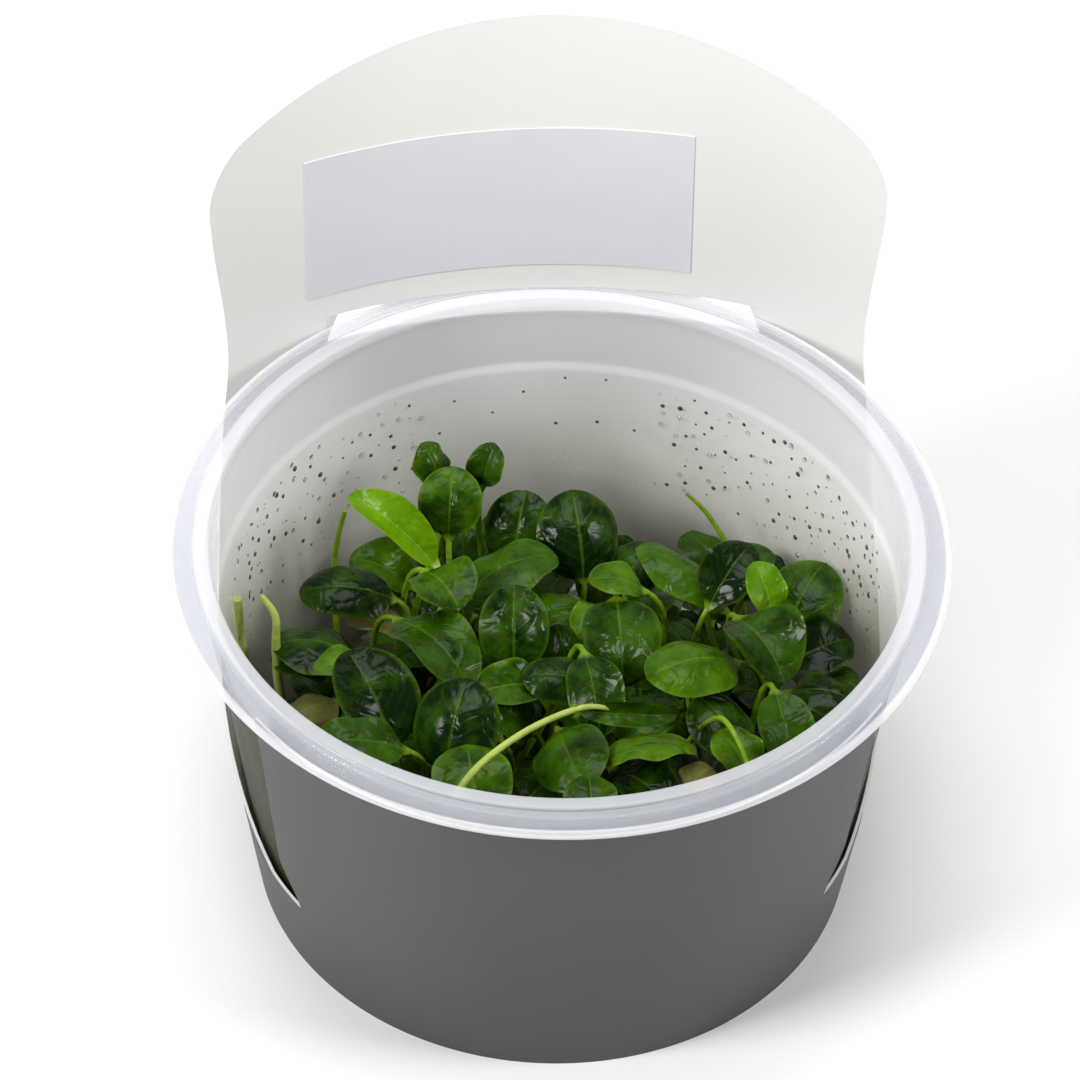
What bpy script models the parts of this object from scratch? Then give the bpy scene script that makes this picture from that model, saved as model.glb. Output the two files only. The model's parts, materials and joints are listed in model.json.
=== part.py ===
"""Anubias plantlets in a tissue-culture cup with a die-cut card sleeve.

Metres, +Z up. The origin is the centre of the cup's flat foot. -Y is the front of the card sleeve and its
tall header stands at +Y. All sizes below are in millimetres and are scaled by MM when a mesh is made.
"""

import math

import bmesh
import bpy
from mathutils import Vector
from mathutils.bvhtree import BVHTree

MM = 0.001

# Cup: a thin-walled cone with a stacking shoulder and a stepped rim.
CUP_SEGMENTS = 48
CUP_FOOT_RADIUS = 38.7
CUP_WALL_SLOPE = 0.128
CUP_WALL = 0.9
CUP_FLOOR = 1.1
SHOULDER_Z = 45.3
RIM_RADIUS = 50.0
RIM_TOP_Z = 57.1
FOOT_ROUNDING = 1.2

# Growing medium in the foot of the cup.
GEL_TOP_Z = 9.0
GEL_GAP = 0.3

# Card sleeve: mid-surface sizes of the sheet.
CARD_THICKNESS = 0.4
CARD_FOOT_RADIUS = 39.3
CARD_SLOPE = 0.141
CARD_COLUMN_DEG = 5
BAND_TOP_Z = 13.8
FRONT_PANEL_COLUMNS = 11
FRONT_PANEL_TOP_Z = 52.0
FRONT_PANEL_BULGE = 5.0
FRONT_PANEL_TAPER = 0.0857
WING_COLUMNS = 23
BACK_LEAN = 0.122
HEADER_RADIUS = 84.0
HEADER_FLAT_FROM_Z = 50.0
HEADER_TOP_Z = 100.0
HEADER_TOP_ARC = 81.0
HEADER_HALF_WIDTH = 46.0
HEADER_WAIST = 43.0
HEADER_CORNER = 5.5
SLOT_LOW_Z = 53.2
SLOT_HIGH_Z = 57.45
SLOT_CLEARANCE = 0.3

# Bare label on the header's inner face: limits along the card and up it.
LABEL_LEFT = -32.3
LABEL_RIGHT = 19.7
LABEL_LOW_Z = 61.2
LABEL_HIGH_Z = 82.7
LABEL_THICKNESS = 0.2
LABEL_GAP = 0.15

# Leaves and rhizomes.
BLADE_GROWTH = 1.12
BLADE_THICKNESS = 0.45
STALK_RADIUS = 0.55
LEAF_CLEARANCE = 0.3
RHIZOME_RADIUS = 1.7
RHIZOME_Z = GEL_TOP_Z + RHIZOME_RADIUS + 0.45

# Rhizomes: letter, centre x and y, direction in degrees, length.
RHIZOMES = (
    ("a", -22, 15, 60, 15),
    ("b", -25, -12, 100, 15),
    ("c", -5, 18, 20, 16),
    ("d", -4, -8, 150, 16),
    ("e", 14, 7, 70, 15),
    ("f", 19, -14, 40, 15),
    ("g", 27, 9, 110, 14),
    ("h", 0, -29, 175, 15),
)

# Leaves, as arranged by hand: tone, centre x, y, z, heading of the tip, its pitch and roll in degrees,
# blade length, width and curl (over 0 its sides turn up, under 0 down). A leaf that would touch a
# neighbour takes the free place nearest to this one.
LEAVES = (
    ("dark", -5.5, 2.5, 38, 88, 42, 0, 10.0, 8.2, 0.5),
    ("dark", -15.5, 0, 38, -52, -5, -8, 13.0, 8.8, 0.6),
    ("dark", -31, 5.5, 33, 172, 8, 12, 10.5, 9.5, -0.4),
    ("dark", -24, -11, 40, 118, 32, 0, 12.5, 9.6, 0.5),
    ("dark", -26, -18, 40.5, 182, 8, -10, 10.5, 6.8, -0.3),
    ("dark", -14, -16, 40, 72, 36, -5, 11.0, 10.2, -0.7),
    ("mid", -12, -24.5, 39, 95, 18, 0, 9.5, 9.2, 0.2),
    ("dark", 0.5, -18, 36, -75, 5, 22, 10.5, 9.0, -0.6),
    ("mid", -14.5, 8.5, 39, -62, 4, 0, 7.8, 8.2, 0.6),
    ("dark", -5.5, 15, 37, 18, 12, -8, 11.4, 9.0, -0.6),
    ("dark", 4, 20.5, 37, 98, 38, 0, 10.8, 9.8, -0.8),
    ("mid", -13, 24, 40, 84, 46, 0, 8.2, 7.6, -0.3),
    ("mid", -15, 28, 42, 128, 52, 0, 5.4, 4.8, -0.4),
    ("dark", -8, 28.5, 42, 58, 58, 15, 5.4, 4.4, 0.8),
    ("dark", -5, 24.5, 37, 74, 44, 0, 8.4, 8.2, -0.5),
    ("young", -20.5, 17.5, 40, 146, 24, -18, 13.0, 5.0, 1.6),
    ("dark", -27, 15.5, 34, 176, 4, -8, 11.0, 7.4, -0.4),
    ("dark", 8.5, 2.5, 35, -88, -28, 0, 10.5, 9.2, 1.0),
    ("mid", 8.5, 10.5, 36, 178, 14, 0, 6.6, 5.4, 0.3),
    ("dark", 10, 18, 33, 58, 30, 0, 7.2, 6.4, -0.5),
    ("dark", 18, 15.5, 34, 146, 16, 14, 13.0, 7.4, -0.9),
    ("dark", 26, 21, 30, 30, 14, 0, 8.2, 6.4, -0.3),
    ("mid", 33, 12.5, 32, 58, 24, 0, 11.4, 9.6, -0.4),
    ("dark", 36.5, 4.5, 31, 25, 2, 22, 8.2, 7.2, 0.8),
    ("mid", 17.5, -4, 38, 202, 10, 0, 11.6, 9.2, -0.6),
    ("dark", 27, 0, 36.5, -62, -8, 0, 10.4, 9.2, 0.9),
    ("young", 25.5, 6.5, 38, 112, 38, 0, 6.6, 4.8, 0.6),
    ("dark", 35, -4, 31.5, -18, 2, 0, 8.2, 6.4, -0.4),
    ("mid", 11, -17.5, 37, 4, 2, -22, 10.6, 6.6, -0.2),
    ("dark", 8, -21.5, 33.5, -48, 0, 0, 9.6, 7.4, 0.4),
    ("dark", 11, -7, 31.5, 4, 10, 0, 8.2, 7.2, -0.5),
    ("dark", 4.5, -7.5, 35.5, -80, -32, 0, 9.6, 6.8, 0.7),
    ("dark", 2.5, -2.5, 37.5, 176, 8, -12, 8.8, 6.4, -0.6),
    ("mid", -4, -6, 38.5, 192, 6, -15, 8.4, 6.0, 0.5),
    ("mid", 3, -27, 37, 92, 22, 0, 7.2, 6.4, -0.4),
    ("dark", 21, -11, 33.5, -58, -18, 0, 9.2, 7.4, -0.6),
    ("dark", 29, -12, 33, -78, -34, 0, 8.8, 6.6, 0.6),
    ("mid", 22, -19.5, 37, 122, 20, 0, 7.2, 5.8, 0.3),
    ("old", 17, -22, 33, 202, -8, 0, 5.8, 4.8, 0.8),
    ("old", -33, -4, 30, 208, -8, 0, 8.2, 6.4, -0.8),
    ("old", -23.5, 8.5, 29, 160, 0, 0, 7.2, 5.4, 0.9),
    ("mid", 31, -18, 32, -14, 4, 0, 7.4, 5.4, -0.4),
    ("dark", 0.5, 9.5, 34, 8, 8, 0, 6.6, 5.4, -0.3),
    ("dark", -21, -24, 34, -60, -12, 0, 8.4, 6.4, -0.5),
    ("dark", -7, -33, 37, -84, 10, 0, 9.6, 8.0, -0.5),
    ("dark", 11, -33, 36, -58, 8, 0, 9.2, 7.8, -0.6),
    ("mid", -31, -16, 32, 214, 12, 0, 8.4, 7.2, -0.4),
)


def clear_scene():
    for old in list(bpy.data.objects):
        bpy.data.objects.remove(old, do_unlink=True)


def material(name, colour, roughness, alpha=1.0, transmission=0.0):
    made = bpy.data.materials.new(name)
    made.use_nodes = True
    shader = made.node_tree.nodes["Principled BSDF"]
    shader.inputs["Base Color"].default_value = (*colour, 1.0)
    shader.inputs["Roughness"].default_value = roughness
    shader.inputs["Metallic"].default_value = 0.0
    shader.inputs["Alpha"].default_value = alpha
    shader.inputs["Transmission Weight"].default_value = transmission
    made.diffuse_color = (*colour, alpha)
    return made


def solid(name, points, faces, finish):
    """One named object from points in millimetres, with its faces turned outwards."""
    mesh = bpy.data.meshes.new(name)
    mesh.from_pydata([Vector(point) * MM for point in points], [], faces)
    shape = bmesh.new()
    shape.from_mesh(mesh)
    bmesh.ops.recalc_face_normals(shape, faces=shape.faces)
    shape.to_mesh(mesh)
    shape.free()
    mesh.shade_smooth()
    mesh.set_sharp_from_angle(angle=math.radians(35))
    mesh.materials.append(finish)
    made = bpy.data.objects.new(name, mesh)
    bpy.context.scene.collection.objects.link(made)
    return made


def turned(name, profile, segments, finish):
    """A solid of revolution. The profile runs from the axis, round the outside, and back to the axis."""
    points = []
    rings = []
    for radius, height in profile:
        if radius == 0:
            rings.append([len(points)] * segments)
            points.append((0, 0, height))
            continue
        rings.append(list(range(len(points), len(points) + segments)))
        for step in range(segments):
            turn = 2 * math.pi * step / segments
            points.append((radius * math.cos(turn), radius * math.sin(turn), height))
    faces = []
    for low, high in zip(rings, rings[1:]):
        for step in range(segments):
            after = (step + 1) % segments
            corners = (low[step], low[after], high[after], high[step])
            faces.append(tuple(dict.fromkeys(corners)))
    return solid(name, points, faces, finish)


def cup_outer_radius(height):
    return CUP_FOOT_RADIUS + CUP_WALL_SLOPE * height


def cup_inner_radius(height):
    """Radius of the cup's inner face below the shoulder."""
    return cup_outer_radius(height) - CUP_WALL


def build_cup(finish):
    outer = cup_outer_radius
    inner = cup_inner_radius
    profile = (
        (0, 0),
        (outer(0) - FOOT_ROUNDING, 0),
        (outer(0.4) - 0.4, 0.4),
        (outer(FOOT_ROUNDING), FOOT_ROUNDING),
        (outer(SHOULDER_Z - 1), SHOULDER_Z - 1),
        (outer(SHOULDER_Z) + 0.4, SHOULDER_Z + 0.2),
        (RIM_RADIUS - 4.9, RIM_TOP_Z - 2.1),
        (RIM_RADIUS - 2.1, RIM_TOP_Z - 1.7),
        (RIM_RADIUS - 0.3, RIM_TOP_Z - 2.2),
        (RIM_RADIUS, RIM_TOP_Z - 1.9),
        (RIM_RADIUS - 0.1, RIM_TOP_Z - 0.9),
        (RIM_RADIUS - 1.4, RIM_TOP_Z - 0.8),
        (RIM_RADIUS - 2.7, RIM_TOP_Z),
        (RIM_RADIUS - 4.8, RIM_TOP_Z),
        (RIM_RADIUS - 5.6, RIM_TOP_Z - 0.7),
        (inner(SHOULDER_Z) + 0.6, SHOULDER_Z + 0.5),
        (inner(SHOULDER_Z), SHOULDER_Z - 0.4),
        (inner(CUP_FLOOR + 1), CUP_FLOOR + 1),
        (inner(CUP_FLOOR) - 1.2, CUP_FLOOR),
        (0, CUP_FLOOR),
    )
    return turned("cup", profile, CUP_SEGMENTS, finish)


def build_gel(finish):
    low = CUP_FLOOR + GEL_GAP
    profile = (
        (0, low),
        (cup_inner_radius(low) - 2.0, low),
        (cup_inner_radius(low + 1.6) - GEL_GAP, low + 1.6),
        (cup_inner_radius(GEL_TOP_Z) - GEL_GAP, GEL_TOP_Z),
        (0, GEL_TOP_Z),
    )
    return turned("nutrient_gel", profile, CUP_SEGMENTS // 2, finish)


def smooth_step(value):
    value = min(max(value, 0.0), 1.0)
    return value * value * (3 - 2 * value)


def back_apex(height):
    """How far back the middle of the card's back stands at this height."""
    return CARD_FOOT_RADIUS + CARD_SLOPE * min(height, BAND_TOP_Z) + BACK_LEAN * max(height - BAND_TOP_Z, 0)


def back_radius(height):
    """The card's bend: it leaves the band's cone and flattens towards the header."""
    band = CARD_FOOT_RADIUS + CARD_SLOPE * min(height, BAND_TOP_Z)
    mix = smooth_step((height - BAND_TOP_Z) / (HEADER_FLAT_FROM_Z - BAND_TOP_Z))
    return 1 / ((1 - mix) / band + mix / HEADER_RADIUS)


def back_point(along, height, offset):
    """A point of the back, by arc length from its middle; offset is outwards from the sheet's mid-surface."""
    radius = back_radius(height)
    turn = along / radius
    centre = back_apex(height) - radius
    reach = radius + offset
    return (reach * math.sin(turn), centre + reach * math.cos(turn), height)


def front_point(degrees, height, offset):
    """A point of the front panel's cone, by its angle from the front."""
    reach = CARD_FOOT_RADIUS + CARD_SLOPE * height + offset
    turn = math.radians(degrees)
    return (reach * math.sin(turn), -reach * math.cos(turn), height)


def header_top(along):
    """The header's arched top edge, with its rounded corners."""
    arch = HEADER_TOP_Z - (HEADER_TOP_ARC - math.sqrt(HEADER_TOP_ARC**2 - along**2))
    over = max(abs(along) - (HEADER_HALF_WIDTH - HEADER_CORNER), 0)
    return arch - HEADER_CORNER + math.sqrt(max(HEADER_CORNER**2 - over**2, 0))


def wing_half_width(height):
    """Half the width of the back along the sheet: wide at the band, waisted at the rim, wider above it."""
    root = math.radians(WING_COLUMNS * CARD_COLUMN_DEG) * (CARD_FOOT_RADIUS + CARD_SLOPE * BAND_TOP_Z)
    wing = (root - HEADER_WAIST) * math.exp(-(height - BAND_TOP_Z) / 11.0)
    upper = (HEADER_HALF_WIDTH - HEADER_WAIST) * smooth_step((height - SLOT_LOW_Z) / 28.0)
    return HEADER_WAIST + wing + upper


def front_edge(height):
    """The front panel's side edge in degrees from the front: it bulges just above the V-slit."""
    rise = FRONT_PANEL_BULGE * smooth_step((height - BAND_TOP_Z) / 8.0)
    return FRONT_PANEL_COLUMNS * CARD_COLUMN_DEG + rise - FRONT_PANEL_TAPER * (height - BAND_TOP_Z)


class Sheet:
    """A sheet of card as one closed mesh, built from cells whose corners are named by grid keys."""

    def __init__(self):
        self.numbers = {}
        self.points = []
        self.cells = []

    def number(self, key, side, point):
        if (key, side) not in self.numbers:
            self.numbers[key, side] = len(self.points)
            self.points.append(point)
        return self.numbers[key, side]

    def cell(self, corners):
        """corners: four (key, function of offset) pairs, in order round the cell."""
        half = CARD_THICKNESS / 2
        inner = [self.number(key, "in", place(-half)) for key, place in corners]
        outer = [self.number(key, "out", place(half)) for key, place in corners]
        self.cells.append((inner, outer))

    def faces(self):
        made = []
        edges = {}
        for inner, outer in self.cells:
            made.append(tuple(inner))
            made.append(tuple(reversed(outer)))
            for step in range(4):
                after = (step + 1) % 4
                name = frozenset((inner[step], inner[after]))
                edges.setdefault(name, []).append((inner[step], inner[after], outer[after], outer[step]))
        made += [wall[0] for wall in edges.values() if len(wall) == 1]
        return made


def band_corner(column, height):
    """Columns count from the middle of the back, and wrap round at the front."""
    degrees = column * CARD_COLUMN_DEG
    key = ("band", column % (360 // CARD_COLUMN_DEG), height)

    def place(offset):
        reach = CARD_FOOT_RADIUS + CARD_SLOPE * height + offset
        turn = math.radians(degrees)
        return (reach * math.sin(turn), reach * math.cos(turn), height)

    return key, place


def wing_corner(column, share):
    """A corner of the back: share 0 is the band's top row, and share 1 the header's top edge."""
    if share == 0:
        return band_corner(column, BAND_TOP_Z)
    even = column / WING_COLUMNS
    spread = even + (math.sin(0.5 * math.pi * even) - even) * share
    side_z = BAND_TOP_Z + (header_top(HEADER_HALF_WIDTH) - BAND_TOP_Z) * share
    along = spread * wing_half_width(side_z)
    height = BAND_TOP_Z + (header_top(spread * HEADER_HALF_WIDTH) - BAND_TOP_Z) * share
    return ("wing", column, share), lambda offset: back_point(along, height, offset)


def panel_corner(column, height):
    """A corner of the front panel: columns count from its middle line."""
    if height == BAND_TOP_Z:
        return band_corner(180 // CARD_COLUMN_DEG - column, BAND_TOP_Z)
    degrees = column / FRONT_PANEL_COLUMNS * front_edge(height)
    return ("panel", column, height), lambda offset: front_point(degrees, height, offset)


def build_sleeve(finish):
    sheet = Sheet()
    for column in range(360 // CARD_COLUMN_DEG):
        ring = [(column, 0), (column + 1, 0), (column + 1, BAND_TOP_Z), (column, BAND_TOP_Z)]
        sheet.cell([band_corner(*corner) for corner in ring])
    shares = (0, 0.035, 0.08, 0.14, 0.22, 0.34, 0.47, 0.6, 0.8, 1)
    for low, high in zip(shares, shares[1:]):
        for column in range(-WING_COLUMNS, WING_COLUMNS):
            ring = [(column, low), (column + 1, low), (column + 1, high), (column, high)]
            sheet.cell([wing_corner(*corner) for corner in ring])
    heights = (BAND_TOP_Z, 17.0, 22.0, 34.0, FRONT_PANEL_TOP_Z)
    for low, high in zip(heights, heights[1:]):
        for column in range(-FRONT_PANEL_COLUMNS, FRONT_PANEL_COLUMNS):
            ring = [(column, low), (column + 1, low), (column + 1, high), (column, high)]
            sheet.cell([panel_corner(*corner) for corner in ring])
    card = solid("card_sleeve", sheet.points, sheet.faces(), finish)
    cut_rim_slot(card, finish)
    return card


def cut_rim_slot(card, finish):
    """The slot that the cup's rim stands through, cut as wide as the rim reaches past the card."""
    reach = RIM_RADIUS + SLOT_CLEARANCE
    profile = ((0, SLOT_LOW_Z), (reach, SLOT_LOW_Z), (reach, SLOT_HIGH_Z), (0, SLOT_HIGH_Z))
    cutter = turned("rim_slot_cutter", profile, CUP_SEGMENTS, finish)
    cutter.hide_render = True
    cutter.display_type = "WIRE"
    cut = card.modifiers.new("rim_slot", "BOOLEAN")
    cut.operation = "DIFFERENCE"
    cut.solver = "EXACT"
    cut.object = cutter


def build_label(finish):
    columns = 14
    rows = 1
    near = -CARD_THICKNESS / 2 - LABEL_GAP
    far = near - LABEL_THICKNESS
    sheet = Sheet()

    def corner(column, row):
        along = LABEL_LEFT + (LABEL_RIGHT - LABEL_LEFT) * column / columns
        height = LABEL_LOW_Z + (LABEL_HIGH_Z - LABEL_LOW_Z) * row / rows

        def place(offset):
            return back_point(along, height, far if offset < 0 else near)

        return (column, row), place

    for row in range(rows):
        for column in range(columns):
            ring = [(column, row), (column + 1, row), (column + 1, row + 1), (column, row + 1)]
            sheet.cell([corner(*place) for place in ring])
    return solid("name_label", sheet.points, sheet.faces(), finish)


def ring_loft(rings, tip):
    """Points and faces of a closed loft through rings of equal size, ending in a point."""
    size = len(rings[0])
    points = [point for ring in rings for point in ring] + [tip]
    faces = [tuple(reversed(range(size)))]
    for row in range(len(rings) - 1):
        for step in range(size):
            after = (step + 1) % size
            low = row * size
            faces.append((low + step, low + after, low + size + after, low + size + step))
    last = (len(rings) - 1) * size
    faces += [(last + step, last + (step + 1) % size, len(points) - 1) for step in range(size)]
    return points, faces


def build_rhizome(letter, x, y, degrees, length, finish):
    """A short knobbly creeping stem with rounded ends."""
    turn = math.radians(degrees)
    run = Vector((math.cos(turn), math.sin(turn), 0))
    side = Vector((-math.sin(turn), math.cos(turn), 0))
    middle = Vector((x, y, RHIZOME_Z))
    rings = []
    steps = 6
    for step in range(steps + 1):
        share = step / steps
        swell = math.sqrt(max(1 - (2 * share - 1) ** 4, 0)) * 0.75 + 0.2
        knob = 0.05 * (-1) ** step
        radius = RHIZOME_RADIUS * min(swell + knob, 1.0)
        centre = middle + run * (share - 0.5) * length
        ring = []
        for corner in range(6):
            angle = 2 * math.pi * corner / 6
            ring.append(centre + side * radius * math.cos(angle) + Vector((0, 0, radius * math.sin(angle))))
        rings.append(ring)
    tip = middle + run * (0.5 * length + 0.5)
    points, faces = ring_loft(rings, tip)
    return solid(f"rhizome_{letter}", points, faces, finish)


class Leaf:
    """One blade and its stalk. The blade's frame is: run to the tip, side, and up out of its upper face."""

    def __init__(self, centre, heading, pitch, roll, length, width, curl):
        heading, pitch, roll = (math.radians(value) for value in (heading, pitch, roll))
        self.centre = centre
        self.length = length * BLADE_GROWTH
        self.width = width * BLADE_GROWTH
        self.curl = curl
        self.run = Vector(
            (math.cos(pitch) * math.cos(heading), math.cos(pitch) * math.sin(heading), math.sin(pitch))
        )
        level = Vector((-math.sin(heading), math.cos(heading), 0))
        up = self.run.cross(level)
        self.side = level * math.cos(roll) + up * math.sin(roll)
        self.up = self.run.cross(self.side)

    def half_width(self, share):
        """A round coin blade with a short drawn-out tip."""
        bulge = max(1 - abs(2 * share**0.92 - 1) ** 2.3, 0) ** 0.55
        return 0.5 * self.width * bulge

    def blade_point(self, share, across, lift):
        """share runs from stalk to tip, across from -1 to 1, and lift is height off the mid-surface."""
        sideways = across * self.half_width(share)
        arch = -0.16 * self.length * (2 * share - 1) ** 2
        cupping = self.curl * sideways**2 / self.width
        along = (share - 0.5) * self.length
        return self.centre + self.run * along + self.side * sideways + self.up * (arch + cupping + lift)

    def stalk_curve(self, foot, bow, share):
        """A cubic curve from the foot on the rhizome to the blade's base."""
        base = self.blade_point(0, 0, 0)
        reach = (base - foot).length
        start = foot + Vector((bow * (base.x - foot.x), bow * (base.y - foot.y), 0.45 * reach))
        finish = base - (self.run + self.up * 0.35) * 0.3 * reach
        rest = 1 - share
        return foot * rest**3 + start * 3 * rest**2 * share + finish * 3 * rest * share**2 + base * share**3

    def mesh(self, foot, bow, grow):
        """Points and faces, made fatter all round by grow."""
        rings = []
        radius = STALK_RADIUS + grow
        for share in (0.0, 0.35, 0.72):
            here = self.stalk_curve(foot, bow, share)
            ahead = self.stalk_curve(foot, bow, share + 0.05)
            run = (ahead - here).normalized()
            side = (self.side - run * self.side.dot(run)).normalized()
            up = run.cross(side)
            ring = []
            for corner in range(6):
                angle = math.pi - corner * math.pi / 3
                ring.append(here + side * radius * math.cos(angle) + up * radius * math.sin(angle))
            rings.append(ring)
        thick = BLADE_THICKNESS / 2 + grow
        for share in (0.05, 0.22, 0.5, 0.76, 0.93):
            edge = 1 + grow / max(self.half_width(share), 0.5)
            ring = [self.blade_point(share, -edge, 0)]
            ring.append(self.blade_point(share, -0.45, thick))
            ring.append(self.blade_point(share, 0.45, thick))
            ring.append(self.blade_point(share, edge, 0))
            ring.append(self.blade_point(share, 0.45, -thick))
            ring.append(self.blade_point(share, -0.45, -thick))
            rings.append(ring)
        return ring_loft(rings, self.blade_point(1, 0, 0) + self.run * grow)

    def inside_cup(self):
        for share in (0.0, 0.25, 0.5, 0.75, 1.0):
            for across in (-1, 0, 1):
                point = self.blade_point(share, across, 0)
                if math.hypot(point.x, point.y) > cup_inner_radius(min(point.z, SHOULDER_Z)) - 0.8:
                    return False
        return True


def rhizome_feet():
    """Places on the rhizomes' upper sides where a stalk can stand, as (x, y, z) points."""
    feet = []
    for _, x, y, degrees, length in RHIZOMES:
        turn = math.radians(degrees)
        run = Vector((math.cos(turn), math.sin(turn), 0))
        side = Vector((-math.sin(turn), math.cos(turn), 0))
        spots = 6
        for spot in range(spots):
            along = (spot / (spots - 1) - 0.5) * (length - 3.5)
            for lean in (-40, 0, 40):
                angle = math.radians(lean)
                out = side * math.sin(angle) + Vector((0, 0, math.cos(angle)))
                feet.append(Vector((x, y, RHIZOME_Z)) + run * along + out * (RHIZOME_RADIUS + 0.5))
    return feet


def nearby_shifts():
    """Small moves of a leaf, nearest first."""
    steps = range(-4, 5)
    moves = [Vector((1.1 * a, 1.1 * b, 1.2 * c)) for a in steps for b in steps for c in range(-5, 6)]
    return sorted(moves, key=lambda move: (round(move.length, 3), move.x, move.y, move.z))


def place_leaves(solids):
    """Gives each leaf its free place. Yields (tone, points, faces) in the order of LEAVES."""
    feet = rhizome_feet()
    moves = nearby_shifts()
    points = []
    faces = []
    for points_in, faces_in in solids:
        faces += [tuple(corner + len(points) for corner in face) for face in faces_in]
        points += points_in
    for tone, x, y, z, *shape in LEAVES:
        taken = BVHTree.FromPolygons(points, faces)
        found = None
        for move in moves:
            leaf = Leaf(Vector((x, y, z)) + move, *shape)
            if not leaf.inside_cup():
                continue
            base = leaf.blade_point(0, 0, 0)
            near = sorted(feet, key=lambda foot: round((foot.xy - base.xy).length, 4))[:10]
            for foot in near:
                for bow in (0.15, 0.5):
                    fat = BVHTree.FromPolygons(*leaf.mesh(foot, bow, LEAF_CLEARANCE))
                    if not fat.overlap(taken):
                        found = (leaf, foot, bow)
                        break
                if found:
                    break
            if found:
                break
        if not found:
            raise RuntimeError(f"no free place for the leaf at {x}, {y}, {z}")
        leaf, foot, bow = found
        feet.remove(foot)
        leaf_points, leaf_faces = leaf.mesh(foot, bow, 0)
        faces += [tuple(corner + len(points) for corner in face) for face in leaf_faces]
        points += leaf_points
        yield tone, leaf_points, leaf_faces


def build_plants(finishes):
    placed = []
    for letter, x, y, degrees, length in RHIZOMES:
        made = build_rhizome(letter, x, y, degrees, length, finishes["rhizome"])
        points = [vertex.co / MM for vertex in made.data.vertices]
        placed.append((points, [tuple(face.vertices) for face in made.data.polygons]))
    for number, (tone, points, faces) in enumerate(place_leaves(placed), 1):
        solid(f"leaf_{number:02d}", points, faces, finishes[tone])


def main():
    clear_scene()
    build_cup(material("cup_plastic", (0.86, 0.88, 0.88), 0.35, alpha=0.5, transmission=0.6))
    build_gel(material("growing_gel", (0.30, 0.30, 0.16), 0.15, transmission=0.4))
    build_sleeve(material("printed_card", (0.21, 0.21, 0.21), 0.55))
    build_label(material("bare_label", (0.66, 0.66, 0.70), 0.4))
    build_plants(
        {
            "rhizome": material("rhizome_skin", (0.12, 0.16, 0.05), 0.5),
            "dark": material("leaf_dark", (0.035, 0.12, 0.012), 0.25),
            "mid": material("leaf_mid", (0.07, 0.20, 0.02), 0.25),
            "young": material("leaf_young", (0.20, 0.36, 0.03), 0.3),
            "old": material("leaf_old", (0.20, 0.19, 0.06), 0.45),
        }
    )


main()
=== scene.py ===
"""Looks of a plant cup: miniature round-leaved water plants in a translucent cup with a card sleeve.

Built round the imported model, in metres. Sizes here are in millimetres and meet the scene through MM.
"""

import json
import math
import random

import bmesh
import bpy
from mathutils import Matrix, Vector, noise
from mathutils.bvhtree import BVHTree

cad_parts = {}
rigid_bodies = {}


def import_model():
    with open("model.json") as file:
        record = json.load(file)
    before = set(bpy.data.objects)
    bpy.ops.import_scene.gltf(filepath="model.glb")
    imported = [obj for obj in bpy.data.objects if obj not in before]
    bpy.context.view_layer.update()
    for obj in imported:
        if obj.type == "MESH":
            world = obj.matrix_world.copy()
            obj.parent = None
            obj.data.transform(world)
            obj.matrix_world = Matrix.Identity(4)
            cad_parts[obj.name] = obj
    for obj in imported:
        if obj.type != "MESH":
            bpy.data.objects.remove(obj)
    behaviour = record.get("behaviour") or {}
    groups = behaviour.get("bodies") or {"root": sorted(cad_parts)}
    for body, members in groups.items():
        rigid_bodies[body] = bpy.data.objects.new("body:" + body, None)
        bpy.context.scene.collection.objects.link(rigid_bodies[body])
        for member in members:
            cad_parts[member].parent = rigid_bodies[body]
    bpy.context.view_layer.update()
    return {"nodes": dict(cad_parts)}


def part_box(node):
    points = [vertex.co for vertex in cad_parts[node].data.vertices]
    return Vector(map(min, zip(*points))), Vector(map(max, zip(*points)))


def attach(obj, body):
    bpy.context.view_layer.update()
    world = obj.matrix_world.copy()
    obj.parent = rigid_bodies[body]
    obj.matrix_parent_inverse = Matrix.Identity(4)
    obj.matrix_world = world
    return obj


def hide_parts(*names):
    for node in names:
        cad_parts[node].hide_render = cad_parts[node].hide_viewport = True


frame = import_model()

MM = 0.001
RIGHT = Vector((1, 0, 0))

gel_low, gel_high = (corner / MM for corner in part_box("nutrient_gel"))
cup_high, sleeve_high, label_high = (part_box(name)[1] / MM for name in ("cup", "card_sleeve", "name_label"))

# Cup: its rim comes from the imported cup.
RIM_RADIUS = cup_high.x
RIM_TOP_Z = cup_high.z
CUP_FOOT_RADIUS = 38.7
CUP_WALL_SLOPE = 0.128
CUP_WALL = 0.9
CUP_FLOOR = 1.1
SHOULDER_Z = 45.3
CUP_SEGMENTS = 168
# The rim's section, up its outside and down its inside: distance in from its edge, and down from its top.
RIM_STEPS = (
    (4.9, 2.1), (2.1, 1.7), (0.9, 2.2), (0.3, 2.2), (0, 1.9), (0.05, 1.1), (0.5, 0.8),
    (0.95, 1.15), (2.9, 0.95), (3.3, 0.15), (3.7, 0), (4.9, 0), (5.3, 0.15), (5.65, 0.9),
)

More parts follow.
